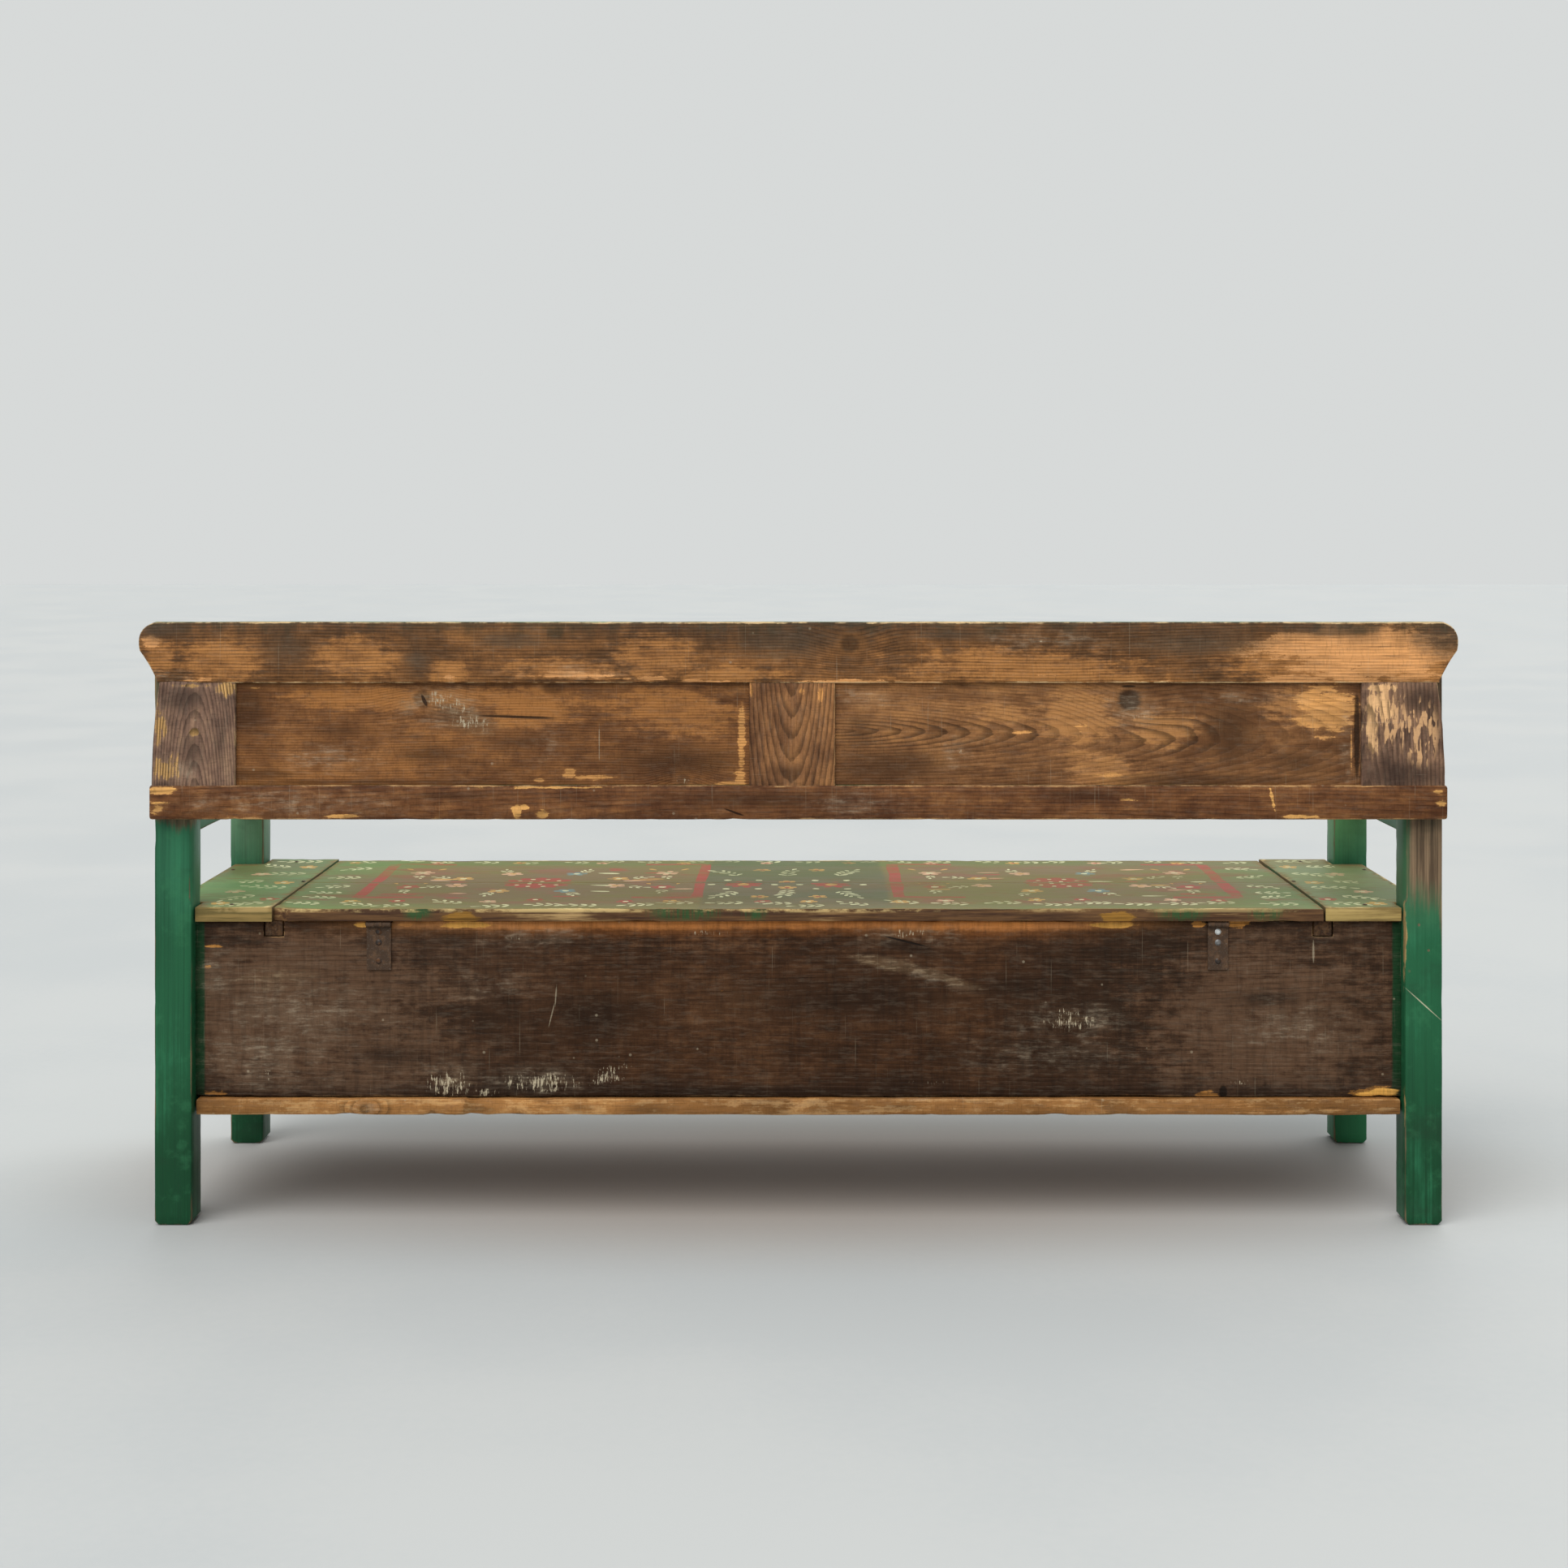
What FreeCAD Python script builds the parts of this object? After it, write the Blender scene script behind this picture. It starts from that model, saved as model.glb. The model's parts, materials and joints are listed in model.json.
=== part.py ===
"""Painted chest bench: a seat with a lift-up lid over a long box, between four posts,
with two arms and a framed and panelled back.

Millimetres, +Z up. The sitter faces -Y, so the plain back of the bench faces +Y and the
sitter's left is +X. The origin lies on the floor under the middle of the bounding box.
"""
import FreeCAD, Part
import Sketcher
import os

document = FreeCAD.newDocument("chest_bench")
sheet = document.addObject("Spreadsheet::Sheet", "Sizes")

# Driving sizes, in millimetres
SIZES = {
    # posts and arms
    "posts_over": 1900,
    "frame_depth": 516,
    "post_side": 56,
    "post_top": 872,
    "post_chamfer": 6,
    "stop_chamfer": 8,
    "arm_underside": 573,
    "arm_height": 62,
    "arm_dip": 9,
    "arm_width": 48,
    "arm_nose": 16,
    "arm_tenon_width": 20,
    "arm_tenon_height": 36,
    "arm_tenon_length": 32,
    "post_tenon_side": 26,
    "post_tenon_height": 34,
    # chest
    "board_setback": 22,
    "board_thickness": 24,
    "side_setback": 12,
    "side_thickness": 20,
    "tongue_length": 12,
    "tongue_thickness": 10,
    "floor_underside": 158,
    "floor_thickness": 26,
    "floor_lip": 7,
    "floor_seam": 1,
    "post_notch_gap": 2,
    # seat
    "seat_height": 468,
    "seat_thickness": 22,
    "seat_end_inset": 9,
    "seat_end_width": 161.5,
    "seat_setback": 10,
    "bearer_width": 28,
    "bearer_height": 23,
    # lid
    "lid_end_gap": 2.5,
    "lid_thickness": 19.5,
    "lid_rest_gap": 0.3,
    "lid_tongue_depth": 8,
    "lid_tongue_thickness": 7,
    "lid_seam": 0.5,
    "batten_inset": 347,
    "batten_width": 62,
    "batten_thickness": 22,
    "batten_end_gap": 16,
    # hinges
    "hinge_inset": 155,
    "hinge_width_left": 36,
    "hinge_width_right": 30,
    "leaf_thickness": 2.2,
    "strap_length": 68,
    "lid_leaf_length": 64,
    "knuckle_radius": 4.6,
    "knuckle_gap": 0.4,
    "pin_radius": 2.2,
    "pin_clearance": 0.05,
    "pin_overhang": 1.2,
    # backrest
    "rail_thickness": 25,
    "back_underside": 601,
    "bottom_rail_height": 51,
    "bottom_rail_overhang": 1,
    "panel_opening": 149,
    "top_rail_height": 90,
    "top_rail_inset": 5,
    "ear_reach": 22,
    "ear_drop": 28,
    "ear_undercut": 28,
    "stile_width": 126,
    "stile_waist_inset": 14,
    "stile_hip_inset": 2,
    "tenon_shoulder": 12,
    "stile_setback": 1.5,
    "middle_stile_width": 127,
    "middle_stile_shift": 9,
    "tenon_length": 34,
    "tenon_width": 62,
    "tenon_thickness": 8,
    "panel_rear_recess": 8,
    "panel_tongue_depth": 9,
    "panel_field_rise": 4,
    "panel_bevel": 22,
    # fasteners and fits
    "peg_radius": 4,
    "peg_length": 19,
    "dowel_radius": 5,
    "dowel_bite": 16,
    "nail_radius": 1.6,
    "nail_head_radius": 3.6,
    "nail_head_height": 1,
    "nail_bite": 20,
    "side_nail_inset": 70,
    "batten_nail_rear": 100,
    "batten_nail_front": 90,
    "batten_nail_seam": 45,
    "leaf_nail_first": 12,
    "leaf_nail_second": 25,
    "screw_radius": 2,
    "screw_head_radius": 4.6,
    "screw_head_height": 1.8,
    "screw_first_drop": 11.5,
    "screw_second_drop": 27.5,
    "screw_third_drop": 55,
    "fit_gap": 0.15,
    "end_gap": 1,
}
for row, (alias, number) in enumerate(SIZES.items(), start=1):
    sheet.set(f"A{row}", alias)
    sheet.set(f"B{row}", str(number))
    sheet.setAlias(f"B{row}", alias)
document.recompute()


# Sizes as expressions
class Size:
    """A length worked out from the sheet: its value now and the text that ties it to the cells."""

    def __init__(self, value, text):
        self.value = value
        self.text = text

    def _with(self, sign, value, other):
        return Size(value, f"({self.text} {sign} {other.text})")

    def __add__(self, other):
        other = as_size(other)
        return self._with("+", self.value + other.value, other)

    def __sub__(self, other):
        other = as_size(other)
        return self._with("-", self.value - other.value, other)

    def __mul__(self, other):
        other = as_size(other)
        return self._with("*", self.value * other.value, other)

    def __truediv__(self, other):
        other = as_size(other)
        return self._with("/", self.value / other.value, other)

    def __radd__(self, other):
        return as_size(other) + self

    def __rsub__(self, other):
        return as_size(other) - self

    def __rmul__(self, other):
        return as_size(other) * self

    def __neg__(self):
        return as_size(-1) * self


def as_size(number):
    if isinstance(number, Size):
        return number
    return Size(float(number), f"({number})")


class Cells:
    """Reads a named cell as a Size."""

    def __getattr__(self, alias):
        return Size(float(sheet.get(alias)), f"Sizes.{alias}")


S = Cells()


# Helpers for bodies, sketches and their features
NORMAL_SIGN = {"XY": 1, "XZ": -1, "YZ": 1}


def new_body(label):
    body = document.addObject("PartDesign::Body", label)
    body.Label = label
    return body


def tie(sketch, geometry, end, point):
    """Holds one end of a line, or a point, at sheet-driven distances from the sketch origin."""
    for kind, size in zip(("DistanceX", "DistanceY"), point):
        number = sketch.addConstraint(Sketcher.Constraint(kind, -1, 1, geometry, end, size.value))
        sketch.setExpression(f"Constraints[{number}]", size.text)


def vector(point):
    return FreeCAD.Vector(point[0].value, point[1].value, 0)


def draw_loop(sketch, loop):
    """Draws a closed outline. A corner is (across, up); an arc is (through, corner)."""
    steps = []
    for step in loop:
        curved = isinstance(step[0], tuple)
        through, corner = step if curved else (None, step)
        corner = tuple(as_size(part) for part in corner)
        if curved:
            through = tuple(as_size(part) for part in through)
        steps.append((through, corner))
    edges = []
    for index, (through, corner) in enumerate(steps):
        before = steps[index - 1][1]
        if through is None:
            edge = sketch.addGeometry(Part.LineSegment(vector(before), vector(corner)))
        else:
            edge = sketch.addGeometry(Part.Arc(vector(before), vector(through), vector(corner)))
            middle = sketch.addGeometry(Part.Point(vector(through)), True)
            tie(sketch, middle, 1, through)
            sketch.addConstraint(Sketcher.Constraint("PointOnObject", middle, 1, edge))
        forward = (sketch.getPoint(edge, 1) - vector(before)).Length < 1e-6
        edges.append((edge, 1 if forward else 2, 2 if forward else 1))
    for index, (edge, start, end) in enumerate(edges):
        previous, _, previous_end = edges[index - 1]
        sketch.addConstraint(Sketcher.Constraint("Coincident", previous, previous_end, edge, start))
        tie(sketch, edge, start, steps[index - 1][1])


def draw_circle(sketch, centre, radius):
    centre = tuple(as_size(part) for part in centre)
    circle = sketch.addGeometry(
        Part.Circle(vector(centre), FreeCAD.Vector(0, 0, 1), radius.value))
    tie(sketch, circle, 3, centre)
    number = sketch.addConstraint(Sketcher.Constraint("Radius", circle, radius.value))
    sketch.setExpression(f"Constraints[{number}]", radius.text)


def new_sketch(body, plane, offset):
    sketch = body.newObject("Sketcher::SketchObject", "Outline")
    support = next(f for f in body.Origin.OriginFeatures if f.Role == f"{plane}_Plane")
    sketch.AttachmentSupport = [(support, "")]
    sketch.MapMode = "FlatFace"
    sketch.AttachmentOffset = FreeCAD.Placement(
        FreeCAD.Vector(0, 0, offset.value), FreeCAD.Rotation())
    sketch.setExpression("AttachmentOffset.Base.z", offset.text)
    return sketch


def add_feature(body, kind, sketch, length):
    feature = body.newObject(f"PartDesign::{kind}", kind)
    feature.Profile = sketch
    feature.Length = length.value
    feature.setExpression("Length", length.text)
    sketch.Visibility = False
    body.Tip = feature
    document.recompute()
    return feature


def pad(body, plane, loops, low, high):
    """Adds material inside the outlines, from low to high along the axis across the plane."""
    low, high = as_size(low), as_size(high)
    start = low if NORMAL_SIGN[plane] > 0 else -high
    sketch = new_sketch(body, plane, start)
    for loop in loops:
        draw_loop(sketch, loop)
    return add_feature(body, "Pad", sketch, high - low)


def cut_sketch(body, plane, low, high):
    return new_sketch(body, plane, high if NORMAL_SIGN[plane] > 0 else -low)


def finish_cut(body, sketch, length):
    before = body.Shape.Volume
    feature = add_feature(body, "Pocket", sketch, length)
    if body.Shape.Volume > before - 1e-3:
        raise RuntimeError(f"{body.Label}: a pocket cuts nothing")
    return feature


def pocket(body, plane, loops, low, high):
    """Removes material inside the outlines, from low to high along the axis across the plane."""
    low, high = as_size(low), as_size(high)
    sketch = cut_sketch(body, plane, low, high)
    for loop in loops:
        draw_loop(sketch, loop)
    return finish_cut(body, sketch, high - low)


def drill(body, plane, centres, radius, low, high):
    """Bores round holes from low to high along the axis across the plane."""
    low, high = as_size(low), as_size(high)
    sketch = cut_sketch(body, plane, low, high)
    for centre in centres:
        draw_circle(sketch, centre, radius)
    return finish_cut(body, sketch, high - low)


def chamfer_level(body, height, size):
    """Chamfers the outer edges of the body that lie at one height."""
    base = body.Tip
    names = []
    for index, edge in enumerate(base.Shape.Edges, start=1):
        level = all(abs(v.Point.z - height.value) < 1e-4 for v in edge.Vertexes)
        if level and edge.Length > S.post_side.value * 0.9:
            names.append(f"Edge{index}")
    feature = body.newObject("PartDesign::Chamfer", "Chamfer")
    feature.Base = (base, names)
    feature.Size = size.value
    feature.setExpression("Size", size.text)
    body.Tip = feature
    document.recompute()


def box(low_a, high_a, low_b, high_b):
    """A rectangle as an outline, between two sizes across and two sizes up."""
    return [(low_a, low_b), (high_a, low_b), (high_a, high_b), (low_a, high_b)]


def ordered(first, second):
    first, second = as_size(first), as_size(second)
    return (first, second) if first.value <= second.value else (second, first)


def on_side(side, near, far):
    """A pair of X sizes, given for the left side, on the side asked for."""
    return ordered(side * as_size(near), side * as_size(far))


SIDES = ((1, "left"), (-1, "right"))

# Shared places, worked out from the sizes
back_y = (S.frame_depth + S.arm_nose - S.rail_thickness) / 2
front_y = back_y - S.frame_depth
outer_x = S.posts_over / 2
inner_x = outer_x - S.post_side
post_x = outer_x - S.post_side / 2
back_post_front = back_y - S.post_side
front_post_rear = front_y + S.post_side
chest_low = S.floor_underside + S.floor_thickness
chest_high = S.seat_height - S.seat_thickness
rear_face = back_y - S.board_setback
rear_inside = rear_face - S.board_thickness
front_face = front_y + S.board_setback
front_inside = front_face + S.board_thickness
side_outer = outer_x - S.side_setback
side_inner = side_outer - S.side_thickness
side_middle = side_outer - S.side_thickness / 2
seat_end_x = outer_x - S.seat_end_inset
lid_half = seat_end_x - S.seat_end_width - S.lid_end_gap
joint_x = lid_half + S.lid_end_gap / 2
bearer_low = chest_high - S.bearer_height
bearer_near = joint_x - S.bearer_width / 2
bearer_far = joint_x + S.bearer_width / 2
seat_back = back_y - S.seat_setback
lid_low = chest_high + S.lid_rest_gap
lid_high = lid_low + S.lid_thickness
lid_middle_y = (seat_back + front_y) / 2
hinge_x = lid_half - S.hinge_inset
axis_y = rear_face + S.knuckle_radius + 0.3
axis_z = lid_low - S.knuckle_radius - 0.3
hinge_width = {"left": S.hinge_width_left, "right": S.hinge_width_right}
rail_back = back_y + S.rail_thickness
stile_back = rail_back - S.stile_setback
bottom_rail_top = S.back_underside + S.bottom_rail_height
top_rail_low = bottom_rail_top + S.panel_opening
top_rail_top = top_rail_low + S.top_rail_height
slot_back = rail_back - S.panel_rear_recess
slot_front = slot_back - S.tenon_thickness
stile_inner = outer_x - S.stile_width
middle_low = S.middle_stile_shift - S.middle_stile_width / 2
middle_high = S.middle_stile_shift + S.middle_stile_width / 2
tenon_near = stile_inner + S.tenon_shoulder
tenon_far = tenon_near + S.tenon_width
middle_tenon_low = S.middle_stile_shift - S.tenon_width / 2
middle_tenon_high = S.middle_stile_shift + S.tenon_width / 2
slot_wide_back = slot_back + S.fit_gap
slot_wide_front = slot_front - S.fit_gap

# Fastener places
bottom_nail_xs = [part * inner_x for part in (-0.92, -0.46, 0.03, 0.46, 0.92)]
rear_board_middle = (rear_face + rear_inside) / 2
front_board_middle = (front_face + front_inside) / 2
side_nail_ys = [back_post_front - S.side_nail_inset, front_post_rear + S.side_nail_inset]
seat_nail_x = (bearer_far + inner_x) / 2
bearer_nail_x = joint_x + S.bearer_width / 4
batten_x = lid_half - S.batten_inset
batten_nail_ys = [seat_back - S.batten_nail_rear, lid_middle_y + S.batten_nail_seam,
                  lid_middle_y - S.batten_nail_seam, front_y + S.batten_nail_front]
leaf_nail_ys = [rear_inside - S.leaf_nail_first, rear_inside - S.leaf_nail_second]
strap_screw_drops = (S.screw_first_drop, S.screw_second_drop, S.screw_third_drop)
frame_pegs = [(side * (tenon_near + S.tenon_width / 2), height)
              for side in (1, -1)
              for height in (top_rail_low + S.tenon_length / 2, bottom_rail_top - S.tenon_length / 2)]
frame_pegs += [(S.middle_stile_shift, top_rail_low + S.tenon_length / 2),
               (S.middle_stile_shift, bottom_rail_top - S.tenon_length / 2)]
dowel_heights = [S.back_underside + S.bottom_rail_height * 0.8,
                 bottom_rail_top + S.panel_opening * 0.25,
                 bottom_rail_top + S.panel_opening * 0.75,
                 top_rail_low + S.top_rail_height * 0.4]
arm_peg_y = back_post_front + S.arm_tenon_length / 2
arm_peg_z = S.arm_underside + S.arm_height / 2 - 3
post_peg_y = front_y + S.post_side / 2
post_peg_z = S.arm_underside + S.post_tenon_height / 2
peg_bore = S.peg_radius + S.fit_gap
dowel_bore = S.dowel_radius + S.fit_gap
nail_bore = S.nail_radius + S.fit_gap
screw_bore = S.screw_radius + S.fit_gap

pieces = []

# Posts, with grooves for the chest boards and mortises for the arms
tongue_gap = S.tongue_thickness / 2 + S.fit_gap
groove_end = S.tongue_length + S.end_gap
for side, name in SIDES:
    post = new_body(f"back_post_{name}")
    pad(post, "XY", [box(*on_side(side, inner_x, outer_x), back_post_front, back_y)], 0, S.post_top)
    chamfer_level(post, as_size(0), S.post_chamfer)
    chamfer_level(post, S.post_top, S.post_chamfer)
    cut = S.stop_chamfer + 1
    pocket(post, "XY", [[(side * (inner_x - 1), back_y - cut), (side * (inner_x - 1), back_y + 1),
                         (side * (inner_x + cut), back_y + 1)]],
           S.seat_height + S.stop_chamfer, S.back_underside)
    pocket(post, "XY", [box(*on_side(side, inner_x - 1, inner_x + groove_end),
                            rear_board_middle - tongue_gap, rear_board_middle + tongue_gap)],
           chest_low, chest_high)
    pocket(post, "XY", [box(*on_side(side, side_middle - tongue_gap, side_middle + tongue_gap),
                            back_post_front - 1, back_post_front + groove_end)],
           chest_low, chest_high)
    tenon_half = S.arm_tenon_width / 2 + S.fit_gap
    tenon_rise = S.arm_tenon_height / 2 + S.fit_gap
    pocket(post, "XZ", [box(*on_side(side, post_x - tenon_half, post_x + tenon_half),
                            arm_peg_z - tenon_rise, arm_peg_z + tenon_rise)],
           back_post_front - 1, back_post_front + S.arm_tenon_length + S.end_gap)
    drill(post, "YZ", [(arm_peg_y, arm_peg_z)], peg_bore,
          *on_side(side, post_x - S.arm_tenon_width / 2 - 4, outer_x + 1))
    drill(post, "XZ", [(side * post_x, height) for height in dowel_heights], dowel_bore,
          back_post_front - 1, back_y + 1)
    pieces.append(post)

    post = new_body(f"front_post_{name}")
    pad(post, "XY", [box(*on_side(side, inner_x, outer_x), front_y, front_post_rear)],
        0, S.arm_underside)
    chamfer_level(post, as_size(0), S.post_chamfer)
    half = S.post_tenon_side / 2
    pad(post, "XY", [box(*on_side(side, post_x - half, post_x + half),
                         post_peg_y - half, post_peg_y + half)],
        S.arm_underside, S.arm_underside + S.post_tenon_height)
    pocket(post, "XY", [box(*on_side(side, inner_x - 1, inner_x + groove_end),
                            front_board_middle - tongue_gap, front_board_middle + tongue_gap)],
           chest_low, chest_high)
    pocket(post, "XY", [box(*on_side(side, side_middle - tongue_gap, side_middle + tongue_gap),
                            front_post_rear - groove_end, front_post_rear + 1)],
           chest_low, chest_high)
    drill(post, "YZ", [(post_peg_y, post_peg_z)], peg_bore,
          *on_side(side, post_x - half - 1, post_x + half + 1))
    pieces.append(post)

# Arms: a level underside, a hollowed top and a rounded nose over the front post
for side, name in SIDES:
    arm = new_body(f"arm_{name}")
    nose_y = front_y - S.arm_nose
    arm_top = S.arm_underside + S.arm_height
    nose_mid = S.arm_underside + S.arm_height * 0.45
    hollow_y = (back_post_front + front_post_rear) / 2
    profile = [
        (back_post_front, S.arm_underside),
        (back_post_front, arm_top),
        ((hollow_y, arm_top - S.arm_dip), (front_post_rear, arm_top - 3)),
        ((front_y + 16, arm_top - 1), (front_y - S.arm_nose * 0.4, arm_top - S.arm_height * 0.2)),
        ((nose_y, nose_mid), (front_y - S.arm_nose * 0.45, S.arm_underside + S.arm_height * 0.12)),
        ((front_y + 1, S.arm_underside + 3), (front_y + 7, S.arm_underside)),
    ]
    pad(arm, "YZ", [profile], *on_side(side, post_x - S.arm_width / 2, post_x + S.arm_width / 2))
    pad(arm, "YZ", [box(back_post_front, back_post_front + S.arm_tenon_length,
                        arm_peg_z - S.arm_tenon_height / 2, arm_peg_z + S.arm_tenon_height / 2)],
        *on_side(side, post_x - S.arm_tenon_width / 2, post_x + S.arm_tenon_width / 2))
    half = S.post_tenon_side / 2 + S.fit_gap
    pocket(arm, "XY", [box(*on_side(side, post_x - half, post_x + half),
                           post_peg_y - half, post_peg_y + half)],
           S.arm_underside - 1, S.arm_underside + S.post_tenon_height + S.end_gap)
    drill(arm, "YZ", [(arm_peg_y, arm_peg_z)], peg_bore,
          *on_side(side, post_x - S.arm_tenon_width / 2 - 1, post_x + S.arm_tenon_width / 2 + 1))
    drill(arm, "YZ", [(post_peg_y, post_peg_z)], peg_bore,
          *on_side(side, post_x - S.post_tenon_side / 2 - 4, post_x + S.arm_width / 2 + 1))
    pieces.append(arm)

# Chest boards, tongued into the posts
bearer_notches = [box(*on_side(side, bearer_near - S.fit_gap, bearer_far + S.fit_gap),
                      bearer_low - S.fit_gap, chest_high + 1) for side, _ in SIDES]


def long_board(label, low_y, high_y, middle_y):
    board = new_body(label)
    pad(board, "XZ", [box(-inner_x, inner_x, chest_low, chest_high)], low_y, high_y)
    half = S.tongue_thickness / 2
    for side, _ in SIDES:
        tongue = on_side(side, inner_x, inner_x + S.tongue_length)
        pad(board, "XZ", [box(*tongue, chest_low, chest_high)], middle_y - half, middle_y + half)
    pocket(board, "XZ", bearer_notches, low_y - 1, high_y + 1)
    drill(board, "XY", [(side * seat_nail_x, middle_y) for side, _ in SIDES], nail_bore,
          chest_high - S.nail_bite - S.end_gap, chest_high + 1)
    drill(board, "XY", [(x, middle_y) for x in bottom_nail_xs], nail_bore,
          chest_low - 1, chest_low + S.nail_bite + S.end_gap)
    return board


back_board = long_board("back_board", rear_inside, rear_face, rear_board_middle)
leaf_under = lid_low - S.leaf_thickness - 0.4
pocket(back_board, "XZ",
       [box(*on_side(side, hinge_x - hinge_width[name] / 2 - 1, hinge_x + hinge_width[name] / 2 + 1),
            leaf_under, chest_high + 1) for side, name in SIDES],
       rear_inside - 1, rear_face + 1)
drill(back_board, "XZ",
      [(side * hinge_x, axis_z - drop) for side, _ in SIDES for drop in strap_screw_drops],
      screw_bore, rear_inside + 4, rear_face + 1)
pieces.append(back_board)
pieces.append(long_board("front_board", front_face, front_inside, front_board_middle))

for side, name in SIDES:
    board = new_body(f"side_board_{name}")
    thickness = on_side(side, side_inner, side_outer)
    pad(board, "YZ", [box(front_post_rear, back_post_front, chest_low, chest_high)], *thickness)
    half = S.tongue_thickness / 2
    tongue = on_side(side, side_middle - half, side_middle + half)
    front_tip = front_post_rear - S.tongue_length
    rear_tip = back_post_front + S.tongue_length
    pad(board, "YZ", [box(front_tip, front_post_rear, chest_low, chest_high)], *tongue)
    pad(board, "YZ", [box(back_post_front, rear_tip, chest_low, chest_high)], *tongue)
    drill(board, "XY", [(side * side_middle, y) for y in side_nail_ys], nail_bore,
          chest_low - 1, chest_low + S.nail_bite + S.end_gap)
    drill(board, "XY", [(side * side_middle, y) for y in side_nail_ys], nail_bore,
          chest_high - S.nail_bite - S.end_gap, chest_high + 1)
    pieces.append(board)

# Bottom boards, notched round the posts
floor_middle_y = (rear_face + front_face) / 2
floor_end = side_outer + S.floor_lip / 2
notch_x = inner_x - S.post_notch_gap
rear_notch = back_post_front - S.post_notch_gap
front_notch = front_post_rear + S.post_notch_gap
rear_edge = rear_face + S.floor_lip
front_edge = front_face - S.floor_lip
seam_rear = floor_middle_y + S.floor_seam / 2
seam_front = floor_middle_y - S.floor_seam / 2
floor_rear = new_body("bottom_board_rear")
pad(floor_rear, "XY", [[(-floor_end, seam_rear), (floor_end, seam_rear), (floor_end, rear_notch),
                        (notch_x, rear_notch), (notch_x, rear_edge), (-notch_x, rear_edge),
                        (-notch_x, rear_notch), (-floor_end, rear_notch)]],
    S.floor_underside, chest_low)
floor_front = new_body("bottom_board_front")
pad(floor_front, "XY", [[(floor_end, seam_front), (-floor_end, seam_front), (-floor_end, front_notch),
                         (-notch_x, front_notch), (-notch_x, front_edge), (notch_x, front_edge),
                         (notch_x, front_notch), (floor_end, front_notch)]],
    S.floor_underside, chest_low)
for board, middle_y, side_y in ((floor_rear, rear_board_middle, side_nail_ys[0]),
                                (floor_front, front_board_middle, side_nail_ys[1])):
    places = [(x, middle_y) for x in bottom_nail_xs]
    places += [(side * side_middle, side_y) for side, _ in SIDES]
    drill(board, "XY", places, nail_bore, S.floor_underside - 1, chest_low + 1)
    pieces.append(board)

# Fixed seat ends and the bearers under their joints with the lid
for side, name in SIDES:
    seat = new_body(f"seat_end_{name}")
    near = side * (lid_half + S.lid_end_gap)
    far = side * seat_end_x
    notch = side * notch_x
    pad(seat, "XY", [[(near, front_y), (notch, front_y), (notch, front_notch), (far, front_notch),
                      (far, rear_notch), (notch, rear_notch), (notch, seat_back), (near, seat_back)]],
        chest_high, S.seat_height)
    places = [(side * seat_nail_x, rear_board_middle), (side * seat_nail_x, front_board_middle),
              (side * bearer_nail_x, lid_middle_y)]
    places += [(side * side_middle, y) for y in side_nail_ys]
    drill(seat, "XY", places, nail_bore, chest_high - 1, S.seat_height + 1)
    pieces.append(seat)

    bearer = new_body(f"lid_bearer_{name}")
    pad(bearer, "XY", [box(*on_side(side, bearer_near, bearer_far), front_face, rear_face)],
        bearer_low, chest_high)
    drill(bearer, "XY", [(side * bearer_nail_x, lid_middle_y)], nail_bore,
          chest_high - S.nail_bite - S.end_gap, chest_high + 1)
    pieces.append(bearer)

# Lid: two boards joined by a tongue, with battens under them
tongue_low = (lid_low + lid_high - S.lid_tongue_thickness) / 2
tongue_high = tongue_low + S.lid_tongue_thickness
seam_rear = lid_middle_y + S.lid_seam / 2
seam_front = lid_middle_y - S.lid_seam / 2
lid_rear = new_body("lid_board_rear")
groove_y = seam_rear + S.lid_tongue_depth
pad(lid_rear, "YZ", [[(seam_rear, lid_low), (seat_back, lid_low), (seat_back, lid_high),
                      (seam_rear, lid_high), (seam_rear, tongue_high + S.fit_gap),
                      (groove_y, tongue_high + S.fit_gap), (groove_y, tongue_low - S.fit_gap),
                      (seam_rear, tongue_low - S.fit_gap)]],
    -lid_half, lid_half)
lid_front = new_body("lid_board_front")
tongue_y = seam_front + S.lid_tongue_depth
pad(lid_front, "YZ", [[(front_y, lid_low), (seam_front, lid_low), (seam_front, tongue_low),
                       (tongue_y, tongue_low), (tongue_y, tongue_high), (seam_front, tongue_high),
                       (seam_front, lid_high), (front_y, lid_high)]],
    -lid_half, lid_half)
nail_tip = lid_low + S.lid_thickness * 0.7
for board, rows in ((lid_rear, batten_nail_ys[:2]), (lid_front, batten_nail_ys[2:])):
    drill(board, "XY", [(side * batten_x, y) for side, _ in SIDES for y in rows], nail_bore,
          lid_low - 1, nail_tip + S.end_gap)
drill(lid_rear, "XY", [(side * hinge_x, y) for side, _ in SIDES for y in leaf_nail_ys], nail_bore,
      lid_low - 1, nail_tip + S.end_gap)
pieces += [lid_rear, lid_front]

batten_low = lid_low - S.batten_thickness
batten_front = front_inside + S.batten_end_gap
batten_back = rear_inside - S.batten_end_gap
for side, name in SIDES:
    batten = new_body(f"lid_batten_{name}")
    bevel = S.batten_thickness * 0.6
    pad(batten, "YZ", [[(batten_front, lid_low), (batten_front, lid_low - S.batten_thickness * 0.4),
                        (batten_front + bevel, batten_low), (batten_back - bevel, batten_low),
                        (batten_back, lid_low - S.batten_thickness * 0.4), (batten_back, lid_low)]],
        *on_side(side, batten_x - S.batten_width / 2, batten_x + S.batten_width / 2))
    drill(batten, "XY", [(side * batten_x, y) for y in batten_nail_ys], nail_bore,
          batten_low - 1, lid_low + 1)
    pieces.append(batten)

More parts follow.
